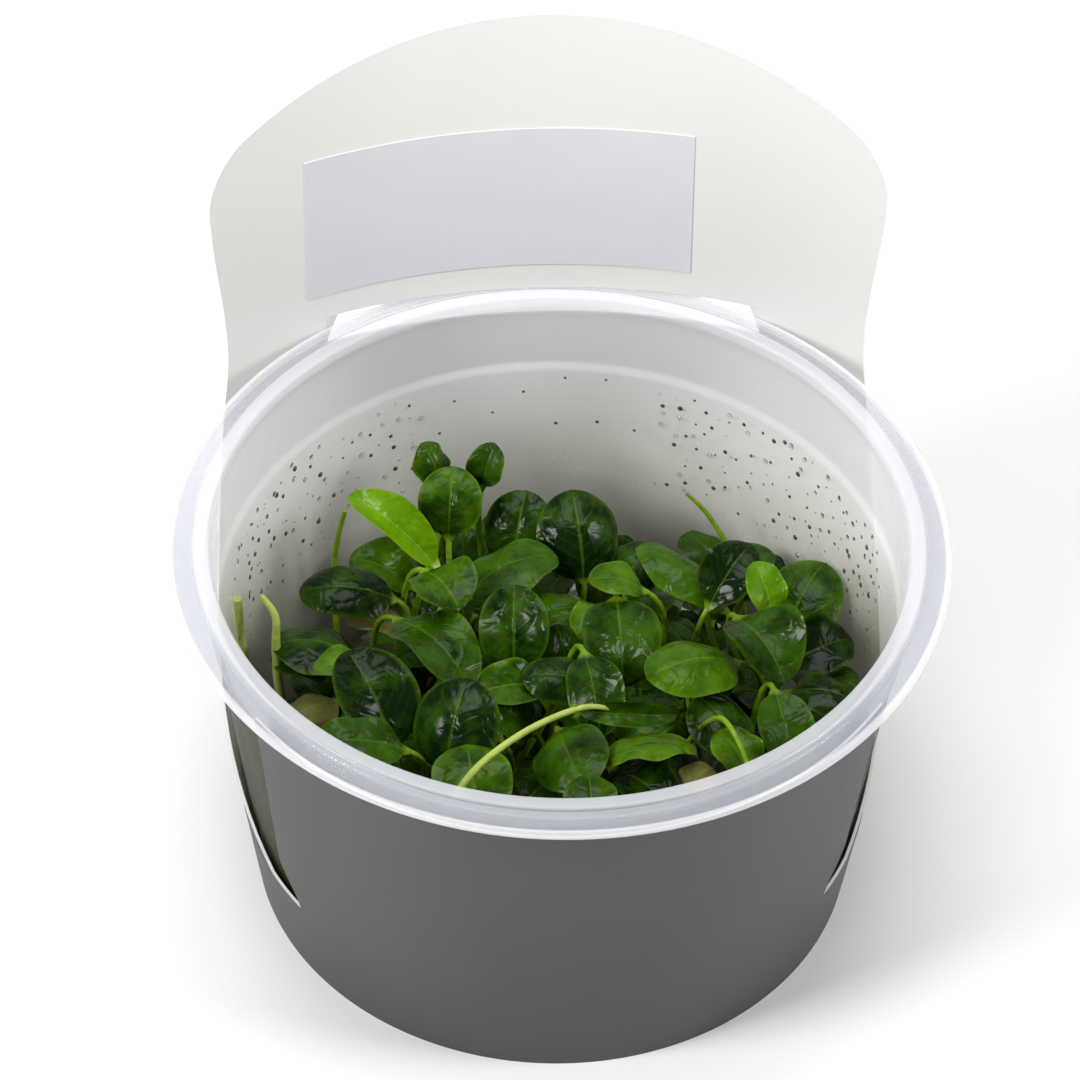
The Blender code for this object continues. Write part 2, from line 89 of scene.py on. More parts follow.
# Card sleeve, as the mid-surface of one die-cut sheet.
CARD_THICKNESS = 0.4
CARD_FOOT_RADIUS = 39.3
CARD_SLOPE = 0.141
CARD_COLUMN_DEG = 2.5
BAND_ROWS = 6
BACK_ROWS = 56
PANEL_ROWS = 44
BAND_TOP_Z = 13.8
FRONT_PANEL_COLUMNS = 22
FRONT_PANEL_TOP_Z = 52.0
FRONT_PANEL_BULGE = 5.0
FRONT_PANEL_TAPER = 0.0857
WING_COLUMNS = 46
BACK_LEAN = 0.122
HEADER_RADIUS = 84.0
HEADER_FLAT_FROM_Z = 50.0
HEADER_TOP_Z = sleeve_high.z
HEADER_TOP_ARC = 81.0
HEADER_HALF_WIDTH = 46.0
HEADER_WAIST = 43.0
HEADER_CORNER = 5.5
SLOT_LOW_Z = 53.2
SLOT_HIGH_Z = 57.45
SLOT_CLEARANCE = 0.25

# Label: its sides are distances along the card, and its back is just clear of the card's inner face.
LABEL_LEFT = -32.3
LABEL_RIGHT = 19.7
LABEL_LOW_Z = 61.2
LABEL_HIGH_Z = label_high.z
LABEL_THICKNESS = 0.12
LABEL_BACK = -CARD_THICKNESS / 2 - 0.02

# Plants.
BLADE_GROWTH = 1.12
STALK_RADIUS = 0.5
STEM_STEPS = 30
STEM_CORNERS = 10
RHIZOME_RADIUS = 1.7
RHIZOME_Z = gel_high.z + RHIZOME_RADIUS + 0.45
FILLER_LEAVES = 72
FILLER_TRIES = 9000
FILLER_REACH = 39.0

RHIZOMES = (
    ("a", -22, 15, 60, 15),
    ("b", -25, -12, 100, 15),
    ("c", -5, 18, 20, 16),
    ("d", -4, -8, 150, 16),
    ("e", 14, 7, 70, 15),
    ("f", 19, -14, 40, 15),
    ("g", 27, 9, 110, 14),
    ("h", 0, -29, 175, 15),
)

# The leaves' wished places, as in the model: tone, centre x, y, z, heading, pitch, roll, length, width, curl.
LEAVES = (
    ("dark", -5.5, 2.5, 38, 88, 42, 0, 10.0, 8.2, 0.5),
    ("dark", -15.5, 0, 38, -52, -5, -8, 13.0, 8.8, 0.6),
    ("dark", -31, 5.5, 33, 172, 8, 12, 10.5, 9.5, -0.4),
    ("dark", -24, -11, 40, 118, 32, 0, 12.5, 9.6, 0.5),
    ("dark", -26, -18, 40.5, 182, 8, -10, 10.5, 6.8, -0.3),
    ("dark", -14, -16, 40, 72, 36, -5, 11.0, 10.2, -0.7),
    ("mid", -12, -24.5, 39, 95, 18, 0, 9.5, 9.2, 0.2),
    ("dark", 0.5, -18, 36, -75, 5, 22, 10.5, 9.0, -0.6),
    ("mid", -14.5, 8.5, 39, -62, 4, 0, 7.8, 8.2, 0.6),
    ("dark", -5.5, 15, 37, 18, 12, -8, 11.4, 9.0, -0.6),
    ("dark", 4, 20.5, 37, 98, 38, 0, 10.8, 9.8, -0.8),
    ("mid", -13, 24, 40, 84, 46, 0, 8.2, 7.6, -0.3),
    ("mid", -15, 28, 42, 128, 52, 0, 5.4, 4.8, -0.4),
    ("dark", -8, 28.5, 42, 58, 58, 15, 5.4, 4.4, 0.8),
    ("dark", -5, 24.5, 37, 74, 44, 0, 8.4, 8.2, -0.5),
    ("young", -20.5, 17.5, 40, 146, 24, -18, 13.0, 5.0, 1.6),
    ("dark", -27, 15.5, 34, 176, 4, -8, 11.0, 7.4, -0.4),
    ("dark", 8.5, 2.5, 35, -88, -28, 0, 10.5, 9.2, 1.0),
    ("mid", 8.5, 10.5, 36, 178, 14, 0, 6.6, 5.4, 0.3),
    ("dark", 10, 18, 33, 58, 30, 0, 7.2, 6.4, -0.5),
    ("dark", 18, 15.5, 34, 146, 16, 14, 13.0, 7.4, -0.9),
    ("dark", 26, 21, 30, 30, 14, 0, 8.2, 6.4, -0.3),
    ("mid", 33, 12.5, 32, 58, 24, 0, 11.4, 9.6, -0.4),
    ("dark", 36.5, 4.5, 31, 25, 2, 22, 8.2, 7.2, 0.8),
    ("mid", 17.5, -4, 38, 202, 10, 0, 11.6, 9.2, -0.6),
    ("dark", 27, 0, 36.5, -62, -8, 0, 10.4, 9.2, 0.9),
    ("young", 25.5, 6.5, 38, 112, 38, 0, 6.6, 4.8, 0.6),
    ("dark", 35, -4, 31.5, -18, 2, 0, 8.2, 6.4, -0.4),
    ("mid", 11, -17.5, 37, 4, 2, -22, 10.6, 6.6, -0.2),
    ("dark", 8, -21.5, 33.5, -48, 0, 0, 9.6, 7.4, 0.4),
    ("dark", 11, -7, 31.5, 4, 10, 0, 8.2, 7.2, -0.5),
    ("dark", 4.5, -7.5, 35.5, -80, -32, 0, 9.6, 6.8, 0.7),
    ("dark", 2.5, -2.5, 37.5, 176, 8, -12, 8.8, 6.4, -0.6),
    ("mid", -4, -6, 38.5, 192, 6, -15, 8.4, 6.0, 0.5),
    ("mid", 3, -27, 37, 92, 22, 0, 7.2, 6.4, -0.4),
    ("dark", 21, -11, 33.5, -58, -18, 0, 9.2, 7.4, -0.6),
    ("dark", 29, -12, 33, -78, -34, 0, 8.8, 6.6, 0.6),
    ("mid", 22, -19.5, 37, 122, 20, 0, 7.2, 5.8, 0.3),
    ("old", 17, -22, 33, 202, -8, 0, 5.8, 4.8, 0.8),
    ("old", -33, -4, 30, 208, -8, 0, 8.2, 6.4, -0.8),
    ("old", -23.5, 8.5, 29, 160, 0, 0, 7.2, 5.4, 0.9),
    ("mid", 31, -18, 32, -14, 4, 0, 7.4, 5.4, -0.4),
    ("dark", 0.5, 9.5, 34, 8, 8, 0, 6.6, 5.4, -0.3),
    ("dark", -21, -24, 34, -60, -12, 0, 8.4, 6.4, -0.5),
    ("dark", -7, -33, 37, -84, 10, 0, 9.6, 8.0, -0.5),
    ("dark", 11, -33, 36, -58, 8, 0, 9.2, 7.8, -0.6),
    ("mid", -31, -16, 32, 214, 12, 0, 8.4, 7.2, -0.4),
)

# Stalks without a leaf: name, tone, radii, and the points that the stalk goes through.
STALKS = (
    ("left_wall", "young", (0.6, 0.65, 0.65, 0.6),
     ((-37.5, 7.5, 14), (-40, 8, 24), (-41, 8.2, 31), (-41.3, 8.4, 38.3))),
    ("left_inner", "young", (0.6, 0.6, 0.6, 0.5, 0.4),
     ((-34, 3, 14), (-36.1, 3.6, 26), (-36.4, 5, 33), (-36.4, 6.2, 37.2), (-38.2, 8.2, 39))),
    ("right_back", "mid", (0.45, 0.4, 0.34, 0.22),
     ((27, 20, 14), (26, 24, 25), (22, 26.5, 33), (18.6, 27.5, 37))),
    ("left_back", "mid", (0.45, 0.45, 0.4, 0.3),
     ((-28, 20, 14), (-28.5, 23, 26), (-28, 24, 33), (-26.9, 24.5, 38))),
    ("front_right", "mid", (0.45, 0.4, 0.36, 0.32),
     ((16, -9, 26), (18.4, -12, 34), (20.3, -16, 39.4), (22.3, -20, 38.8), (24, -23.5, 35))),
    ("front_arch", "young", (0.45, 0.45, 0.48, 0.45, 0.4, 0.3),
     ((-17, -31, 14), (-15.5, -30, 34), (-13, -27.5, 41.5), (-6, -22.2, 44), (2, -17.2, 43.4),
      (7, -15.5, 41))),
)

# Each tone's colours: blade dark, blade light, vein (also the painted sheen at the margin), stalk, back of
# the blade.
LEAF_TONES = {
    "dark": ((0.0025, 0.011, 0.0004), (0.038, 0.104, 0.001), (0.066, 0.160, 0.003),
             (0.105, 0.190, 0.008), (0.05, 0.12, 0.010)),
    "mid": ((0.009, 0.032, 0.0004), (0.074, 0.172, 0.001), (0.10, 0.23, 0.006),
            (0.16, 0.27, 0.012), (0.08, 0.17, 0.012)),
    "young": ((0.060, 0.160, 0.0010), (0.14, 0.29, 0.003), (0.20, 0.35, 0.008),
              (0.33, 0.42, 0.09), (0.16, 0.28, 0.02)),
    "old": ((0.050, 0.064, 0.008), (0.165, 0.158, 0.038), (0.23, 0.22, 0.07),
            (0.20, 0.19, 0.05), (0.15, 0.15, 0.05)),
}


class Wire:
    """A node's output that arithmetic can be done with; each operation adds a Math node."""

    def __init__(self, tree, socket):
        self.tree = tree
        self.socket = socket

    def _math(self, operation, *terms):
        return self.tree.node("ShaderNodeMath", {"operation": operation}, dict(enumerate(terms)))

    def __add__(self, other):
        return self._math("ADD", self, other)

    def __sub__(self, other):
        return self._math("SUBTRACT", self, other)

    def __rsub__(self, other):
        return self._math("SUBTRACT", other, self)

    def __mul__(self, other):
        return self._math("MULTIPLY", self, other)

    __radd__ = __add__
    __rmul__ = __mul__

    def __pow__(self, power):
        return self._math("POWER", self, power)

    def size(self):
        return self._math("ABSOLUTE", self)

    def part(self):
        return self._math("FRACT", self)

    def fade(self, low, high):
        """0 at low, 1 at high, smooth between; low may be the larger."""
        limits = {0: self, 1: low, 2: high, 3: 0.0, 4: 1.0}
        return self.tree.node("ShaderNodeMapRange", {"interpolation_type": "SMOOTHSTEP"}, limits)


class Tree:
    """A node tree that is filled through one method."""

    def __init__(self, web):
        self.web = web

    def node(self, kind, settings=None, inputs=None, output=0):
        made = self.web.nodes.new(kind)
        for key, value in (settings or {}).items():
            setattr(made, key, value)
        for key, value in (inputs or {}).items():
            self.put(made.inputs[key], value)
        return Wire(self, made.outputs[output]) if len(made.outputs) else None

    def put(self, socket, value):
        if isinstance(value, Wire):
            self.web.links.new(value.socket, socket)
        elif value is not None:
            socket.default_value = (*value, 1.0) if socket.type == "RGBA" else value


class Finish(Tree):
    """A material with one Principled surface."""

    def __init__(self, name):
        self.material = bpy.data.materials.new(name)
        self.material.use_nodes = True
        super().__init__(self.material.node_tree)
        self.web.nodes.clear()

    def noise(self, scale, detail=3.0, rough=0.5, distortion=0.0, stretch=(1, 1, 1)):
        """Noise from 0 to 1 in object space; scale is in features per metre."""
        place = self.node("ShaderNodeTexCoord", output=3)
        place = self.node("ShaderNodeMapping", {}, {"Vector": place, "Scale": stretch})
        values = {"Vector": place, "Scale": scale, "Detail": detail, "Roughness": rough}
        values["Distortion"] = distortion
        return self.node("ShaderNodeTexNoise", {}, values)

    def place(self, axis):
        """An object coordinate in millimetres."""
        spot = self.node("ShaderNodeTexCoord", output=3)
        return self.node("ShaderNodeSeparateXYZ", {}, {"Vector": spot}, output=axis) * (1 / MM)

    def held(self, name):
        """A value that the mesh holds at its points."""
        return self.node("ShaderNodeAttribute", {"attribute_name": name}, output=2)

    def layers(self, tone, *over):
        """A colour with others laid over it, each by its own share."""
        for share, colour in over:
            tone = self.node("ShaderNodeMix", {"data_type": "RGBA"}, {0: share, 6: tone, 7: colour}, output=2)
        return tone

    def bump(self, height, depth, strength=1.0, under=None):
        values = {"Height": height, "Distance": depth * MM, "Strength": strength, "Normal": under}
        return self.node("ShaderNodeBump", {}, values)

    def surface(self, colour, **values):
        """Ends the material. Value names are socket names with underscores for spaces."""
        inputs = {key.replace("_", " "): value for key, value in values.items()}
        inputs["Base Color"] = colour
        shader = self.node("ShaderNodeBsdfPrincipled", {}, inputs)
        self.node("ShaderNodeOutputMaterial", {}, {"Surface": shader})
        return self.material


def cup_plastic():
    """Thin frosted polypropylene: milky rim and clearer wall. The rim's grey is deeper over its groove as
    painted shade and kept off its lip as a painted highlight; the back of the wall has painted shade, and the
    wall low down inside is painted dark olive as shade.
    """
    made = Finish("cup_plastic")
    height = made.place(2)
    depth = made.place(1)
    inset = RIM_RADIUS - (made.place(0) ** 2 + depth**2) ** 0.5
    drop = RIM_TOP_Z - height
    flow = made.noise(220.0, 4.0, 0.6, 0.4, (1, 1, 0.25))
    mist = made.noise(1400.0, 2.0)
    cloud = made.noise(70.0, 3.0, 0.55)
    rim = inset.fade(5.9, 5.3) * drop.fade(3.4, 2.4)
    # Painted shade and highlight: the rim's grey tint is laid on deeper over the groove band and kept off the
    # outer lip.
    thin_shaded_groove = inset.fade(3.6, 3.0) * inset.fade(0.6, 1.1)
    lip_highlight = inset.fade(1.1, 0.6)
    front = depth.fade(34.0, -26.0)
    below_rim = height.fade(51.0, 42.0)
    # Painted shade: the wall turns dark olive low down inside, strongest and highest at the front, where the
    # cup's lower inside is dim; its square adds a near-black layer.
    painted_low_shade = (height + 14.0 * cloud - 26.0 * front).fade(50.0, 20.0) * below_rim * (0.45 + 0.55 * front)
    # Painted shade: darker olive-grey over the back of the wall, lower down, where the card shades it.
    painted_back_shade = (height + 6.0 * cloud).fade(54.0, 30.0) * depth.fade(-10.0, 20.0)
    tone = made.layers(
        (0.80, 0.81, 0.83),
        (flow, (0.89, 0.89, 0.91)),
        # rim tint: deeper over the groove as painted shade, kept off the lip as a painted highlight
        (rim * (0.40 + 0.55 * thin_shaded_groove - 0.40 * lip_highlight), (0.40, 0.41, 0.49)),
        # painted shade at the back of the wall
        (0.45 * painted_back_shade, (0.60, 0.59, 0.48)),
        # painted shade low down inside, and its near-black deepest part
        (painted_low_shade, (0.34, 0.34, 0.16)),
        (1.5 * painted_low_shade * painted_low_shade, (0.034, 0.038, 0.008)),
    )
    return made.surface(
        tone,
        Roughness=0.26 + 0.14 * mist - 0.10 * rim,
        Alpha=0.36 - 0.06 * flow + rim * (0.16 - 0.18 * thin_shaded_groove) + 0.20 * painted_low_shade,
        Normal=made.bump(flow, 0.25, 0.35, made.bump(mist, 0.03, 0.3)),
        IOR=1.49,
        Coat_Weight=0.5 - 0.5 * painted_low_shade,
        Coat_Roughness=0.08,
        Specular_IOR_Level=0.08,
    )


def card_print():
    """The printed outside of the card: plain satin grey."""
    made = Finish("card_grey_print")
    fibre = made.noise(2600.0, 3.0, 0.6)
    cloud = made.noise(45.0, 2.0)
    fleck = (0.08 * fibre, (0.16, 0.16, 0.16))
    tone = made.layers((0.044, 0.044, 0.044), (cloud, (0.058, 0.058, 0.057)), fleck)
    relief = made.bump(fibre, 0.02, 0.4)
    return made.surface(tone, Roughness=0.46 + 0.12 * fibre, Normal=relief, Specular_IOR_Level=0.4)


def card_inside():
    """The unprinted inside of the card: smooth off-white board with short fibres."""
    made = Finish("card_white_board")
    fibre = made.noise(1900.0, 4.0, 0.65, 0.5, (1, 1, 2.2))
    cloud = made.noise(38.0, 2.0)
    tone = made.layers((0.84, 0.82, 0.80), (cloud, (0.89, 0.875, 0.86)), (0.10 * fibre, (0.72, 0.70, 0.67)))
    relief = made.bump(fibre, 0.02, 0.35)
    return made.surface(tone, Roughness=0.5 + 0.15 * fibre, Normal=relief, Sheen_Weight=0.05)


def card_edge():
    """The cut edge, where the white core shows."""
    made = Finish("card_cut_edge")
    fibre = made.noise(5200.0, 2.0, 0.7, 0.0, (1, 1, 0.4))
    tone = made.layers((0.74, 0.73, 0.70), (fibre, (0.92, 0.91, 0.89)))
    return made.surface(tone, Roughness=0.85, Normal=made.bump(fibre, 0.05, 0.6))


def label_paper():
    """Bare lavender-grey label stock with a light satin face."""
    made = Finish("bare_label_stock")
    fibre = made.noise(1500.0, 3.0, 0.6, 0.3)
    wear = made.noise(90.0, 4.0, 0.6)
    tone = made.layers((0.72, 0.72, 0.765), (wear, (0.79, 0.79, 0.82)), (0.10 * fibre, (0.82, 0.82, 0.85)))
    shine = {"Coat_Weight": 0.15, "Coat_Roughness": 0.25}
    return made.surface(tone, Roughness=0.34 + 0.10 * wear, Normal=made.bump(fibre, 0.015, 0.3), **shine)


def growing_gel():
    """Set growing jelly, wet and olive, with specks of plant matter."""
    made = Finish("growing_gel")
    cloud = made.noise(160.0, 3.0, 0.6)
    speck = made.noise(1100.0, 2.0).fade(0.62, 0.70)
    matter = (0.6 * speck, (0.05, 0.035, 0.015))
    tone = made.layers((0.055, 0.065, 0.018), (cloud, (0.13, 0.13, 0.045)), matter)
    wet = {"Transmission_Weight": 0.25, "IOR": 1.34, "Coat_Weight": 0.6}
    return made.surface(tone, Roughness=0.10 + 0.12 * cloud, Normal=made.bump(cloud, 0.5, 0.5), **wet)


def rhizome_skin():
    """Living creeping stem: green-brown with pale leaf scars."""
    made = Finish("rhizome_skin")
    bark = made.noise(700.0, 4.0, 0.6)
    scar = made.noise(320.0, 2.0).fade(0.52, 0.66)
    tone = made.layers((0.045, 0.075, 0.018), (bark, (0.16, 0.15, 0.05)), (0.6 * scar, (0.26, 0.25, 0.12)))
    return made.surface(tone, Roughness=0.38 + 0.2 * bark, Normal=made.bump(bark, 0.25, 0.6), Coat_Weight=0.3)


def leaf_skin(tone_name):
    """Thick leaf: midrib, faint arched side veins, mottling, a painted sheen that lightens the margin, and a
    wet uneven shine on its upper face.
    """
    dark, light, vein_and_sheen, stalk, back = LEAF_TONES[tone_name]
    made = Finish(f"leaf_{tone_name}")
    along = made.held("leaf_share")
    across = made.held("leaf_across").size()
    upper = made.held("leaf_face")
    tint = made.held("leaf_tint")
    mottle = made.noise(240.0, 4.0, 0.6)
    swell = made.noise(330.0, 2.0, 0.5, 0.6)
    grain = made.noise(2600.0, 2.0)
    rib = (across * (1.5 + along)).fade(0.12, 0.02) * along.fade(1.02, 0.80)
    arch = (along - 0.42 * across**1.4) * 7.5
    line = (arch.part() - 0.5).size().fade(0.14, 0.0) * across.fade(0.95, 0.6)
    # Painted sheen: the blade is lightened towards its margin with the vein colour.
    margin_sheen = across.fade(0.84, 1.0)
    patches = (2.0 * mottle + 0.7 * tint - 0.98, light)
    blade = made.layers(dark, patches, (0.07 * line, vein_and_sheen), (0.30 * margin_sheen, vein_and_sheen), (0.34 * rib, vein_and_sheen))
    tone = made.layers(back, (0.5 * line, light), (upper, blade), (along.fade(0.03, -0.02), stalk))
    relief = made.bump(swell, 0.8, 0.8)
    relief = made.bump(0.4 * mottle - 0.15 * line - 0.8 * rib, 0.10, 0.45, relief)
    relief = made.bump(grain, 0.015, 0.15, relief)
    if tone_name == "old":
        rot = made.noise(420.0, 4.0, 0.7).fade(0.45, 0.62)
        tone = made.layers(tone, (0.6 * rot, (0.11, 0.080, 0.022)))
        return made.surface(tone, Roughness=0.45 + 0.25 * mottle, Normal=relief, Specular_IOR_Level=0.15)
    roughness = 0.06 + 0.12 * mottle + 0.20 * (1 - swell) + 0.30 * (1 - upper)
    return made.surface(tone, Roughness=roughness, Normal=relief, Specular_IOR_Level=0.12)


def wall_speck():
    """Dark damp specks that cling to the wall."""
    made = Finish("wall_speck")
    cloud = made.noise(1500.0, 2.0)
    tone = made.layers((0.025, 0.03, 0.02), (cloud, (0.09, 0.095, 0.07)))
    return made.surface(tone, Roughness=0.12 + 0.2 * cloud, Coat_Weight=0.4)


def water_drop():
    """Small clear drops of condensation."""
    made = Finish("water_drop")
    return made.surface((0.94, 0.96, 0.95), Roughness=0.03, Transmission_Weight=1.0, IOR=1.33)


def pale_floor():
    made = Finish("pale_floor")
    tone = made.layers((0.88, 0.88, 0.88), (made.noise(6.0, 2.0), (0.90, 0.90, 0.90)))
    return made.surface(tone, Roughness=0.75)


# -------- shapes


def piece_from(name, points, faces, finishes, face_finish=None, slot=None, stands_for=(), closed=True):
    """A piece from points in millimetres, smooth; a closed one has its faces turned outwards."""
    mesh = bpy.data.meshes.new(name)
    mesh.from_pydata([Vector(point) * MM for point in points], [], faces)
    for finish in finishes:
        mesh.materials.append(finish)
    if face_finish:
        mesh.polygons.foreach_set("material_index", face_finish)
    if closed:
        shape = bmesh.new()
        shape.from_mesh(mesh)
        bmesh.ops.recalc_face_normals(shape, faces=shape.faces)
        shape.to_mesh(mesh)
        shape.free()
    mesh.shade_smooth()
    mesh.set_sharp_from_angle(angle=math.radians(40))
    made = bpy.data.objects.new(name, mesh)
    bpy.context.scene.collection.objects.link(made)
    if slot:
        settle(made, slot, *stands_for)
    return made


def settle(piece, slot, *stands_for):
    """Ties a finished piece to the model."""
    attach(piece, "root")
    if stands_for:
        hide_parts(*stands_for)


def smooth_step(value):
    value = min(max(value, 0.0), 1.0)
    return value * value * (3 - 2 * value)


def even_steps(low, high, count):
    return [low + (high - low) * step / count for step in range(count + 1)]


def circle(centre, side, up, radius, corners):
    turns = [2 * math.pi * corner / corners for corner in range(corners)]
    return [centre + side * radius * math.cos(turn) + up * radius * math.sin(turn) for turn in turns]


def softened(profile, radius, steps=4):
    """The profile with each corner but its ends turned into a small arc."""
    made = [profile[0]]
    for before, here, after in zip(profile, profile[1:], profile[2:]):
        corner = Vector(here)
        back = Vector(before) - corner
        ahead = Vector(after) - corner
        reach = min(radius, 0.45 * back.length, 0.45 * ahead.length)
        start = corner + back.normalized() * reach
        end = corner + ahead.normalized() * reach
        for step in range(steps + 1):
            share = step / steps
            rest = 1 - share
            made.append(tuple(start * rest**2 + corner * 2 * rest * share + end * share**2))
    made.append(profile[-1])
    return made


def turned(profile, segments):
    """Points and faces of a solid of revolution whose profile starts and ends on the axis."""
    points = []
    rings = []
    for radius, height in profile:
        first = len(points)
        rings.append(list(range(first, first + segments)) if radius else [first] * segments)
        for step in range(segments if radius else 1):
            turn = 2 * math.pi * step / segments
            points.append((radius * math.cos(turn), radius * math.sin(turn), height))
    faces = []
    for low, high in zip(rings, rings[1:]):
        for step in range(segments):
            after = (step + 1) % segments
            faces.append(tuple(dict.fromkeys((low[step], low[after], high[after], high[step]))))
    return points, faces


def loft(rings, tip=None):
    """Points and faces of a closed loft through rings of equal size, ending in a cap or a point."""
    size = len(rings[0])
    points = [point for ring in rings for point in ring]
    faces = [tuple(reversed(range(size)))]
    for row in range(len(rings) - 1):
        for step in range(size):
            after = (step + 1) % size
            low = row * size
            faces.append((low + step, low + after, low + size + after, low + size + step))
    last = (len(rings) - 1) * size
    if tip is None:
        faces.append(tuple(range(last, last + size)))
    else:
        points.append(tip)
        faces += [(last + step, last + (step + 1) % size, len(points) - 1) for step in range(size)]
    return points, faces


def through(knots, share):
    """A point on a smooth curve through the knots; share runs from 0 to 1."""
    spot = min(share * (len(knots) - 1), len(knots) - 1.000001)
    first = int(spot)
    local = spot - first
    ends = [Vector(knots[min(max(first + step, 0), len(knots) - 1)]) for step in (-1, 0, 1, 2)]
    before, start, end, after = ends
    bend = (end - before) * 0.5
    leave = (after - start) * 0.5
    square = local * local
    cube = square * local
    return (
        start * (2 * cube - 3 * square + 1)
        + bend * (cube - 2 * square + local)
        + end * (3 * square - 2 * cube)
        + leave * (cube - square)
    )


def cord_rings(knots, radii):
    """Rings of a round stem along a smooth curve; radii are given at even shares."""
    rings = []
    for share in even_steps(0, 1, STEM_STEPS):
        here = through(knots, share)
        run = (through(knots, min(share + 0.01, 1)) - through(knots, max(share - 0.01, 0))).normalized()
        side = run.orthogonal().normalized() if not rings else (side - run * side.dot(run)).normalized()
        radius = through([(value, 0, 0) for value in radii], share).x
        rings.append(circle(here, side, run.cross(side), radius, STEM_CORNERS))
    return rings


# -------- cup and jelly


def cup_outer_radius(height):
    return CUP_FOOT_RADIUS + CUP_WALL_SLOPE * height


def cup_inner_radius(height):
    """Radius of the cup's inner face below the shoulder."""
    return cup_outer_radius(height) - CUP_WALL


def make_cup(finish):
    """Thin moulded wall, a flared shoulder, and a stepped rim with a rolled lip."""
    outer = cup_outer_radius
    inner = cup_inner_radius
    profile = [
        (0, 0),
        (outer(0) - 1.6, 0),
        (outer(1.6), 1.6),
        (outer(SHOULDER_Z - 1), SHOULDER_Z - 1),
        (outer(SHOULDER_Z) + 0.4, SHOULDER_Z + 0.2),
        *((RIM_RADIUS - inset, RIM_TOP_Z - drop) for inset, drop in RIM_STEPS),
        (inner(SHOULDER_Z) + 0.6, SHOULDER_Z + 0.5),
        (inner(SHOULDER_Z), SHOULDER_Z - 0.4),
        (inner(30), 30),
        (inner(CUP_FLOOR + 1.2), CUP_FLOOR + 1.2),
        (inner(CUP_FLOOR) - 1.2, CUP_FLOOR),
        (0, CUP_FLOOR),
    ]
    points, faces = turned(softened(profile, 0.35), CUP_SEGMENTS)
    return piece_from("cup_wall", points, faces, [finish], slot="cup_plastic", stands_for=["cup"])


def make_gel(finish):
    """Set jelly with a slightly uneven wet top that climbs a little at the wall."""
    low = gel_low.z
    top = gel_high.z
    gap = 0.3
    middle = top - 0.7
    profile = [
        (0, low),
        (cup_inner_radius(low) - 2.0, low),
        (cup_inner_radius(low + 1.6) - gap, low + 1.6),
        (cup_inner_radius(top) - gap, top),
        (cup_inner_radius(top) - 1.4, top - 0.5),
        *((radius, middle) for radius in range(35, 0, -2)),
        (0, middle),
    ]
    points, faces = turned(profile, 96)
    for number, (x, y, z) in enumerate(points):
        if z > middle - 0.05 and math.hypot(x, y) < 36.5:
            points[number] = (x, y, z + 0.3 * noise.noise(Vector((x, y, 3)) * 0.16))
    return piece_from("jelly", points, faces, [finish], slot="growing_gel", stands_for=["nutrient_gel"])


# -------- card sleeve and label


def band_radius(height):
    """Radius of the cone that the card's band and front panel lie on."""
    return CARD_FOOT_RADIUS + CARD_SLOPE * height


def back_apex(height):
    """How far back the middle of the card's back stands at this height."""
    return band_radius(min(height, BAND_TOP_Z)) + BACK_LEAN * max(height - BAND_TOP_Z, 0)


def back_radius(height):
    """The card's bend: it leaves the band's cone and flattens towards the header."""
    mix = smooth_step((height - BAND_TOP_Z) / (HEADER_FLAT_FROM_Z - BAND_TOP_Z))
    return 1 / ((1 - mix) / band_radius(min(height, BAND_TOP_Z)) + mix / HEADER_RADIUS)


def back_point(along, height, offset):
    """A point of the back, by arc length from its middle; offset is outwards from the sheet's mid-surface."""
    radius = back_radius(height)
    turn = along / radius
    centre = back_apex(height) - radius
    reach = radius + offset
    return (reach * math.sin(turn), centre + reach * math.cos(turn), height)


def front_point(degrees, height, offset):
    """A point of the front panel's cone, by its angle from the front."""
    reach = band_radius(height) + offset
    turn = math.radians(degrees)
    return (reach * math.sin(turn), -reach * math.cos(turn), height)


def header_top(along):
    """The header's arched top edge, with its rounded corners."""
    arch = HEADER_TOP_Z - (HEADER_TOP_ARC - math.sqrt(HEADER_TOP_ARC**2 - along**2))
    over = max(abs(along) - (HEADER_HALF_WIDTH - HEADER_CORNER), 0)
    return arch - HEADER_CORNER + math.sqrt(max(HEADER_CORNER**2 - over**2, 0))


def wing_half_width(height):
    """Half the width of the back along the sheet: wide at the band, waisted at the rim, wider above it."""
    root = math.radians(WING_COLUMNS * CARD_COLUMN_DEG) * band_radius(BAND_TOP_Z)
    wing = (root - HEADER_WAIST) * math.exp(-(height - BAND_TOP_Z) / 11.0)
    upper = (HEADER_HALF_WIDTH - HEADER_WAIST) * smooth_step((height - SLOT_LOW_Z) / 28.0)
    return HEADER_WAIST + wing + upper


def front_edge(height):
    """The front panel's side edge in degrees from the front: it bulges just above the V-slit."""
    rise = FRONT_PANEL_BULGE * smooth_step((height - BAND_TOP_Z) / 8.0)
    return FRONT_PANEL_COLUMNS * CARD_COLUMN_DEG + rise - FRONT_PANEL_TAPER * (height - BAND_TOP_Z)


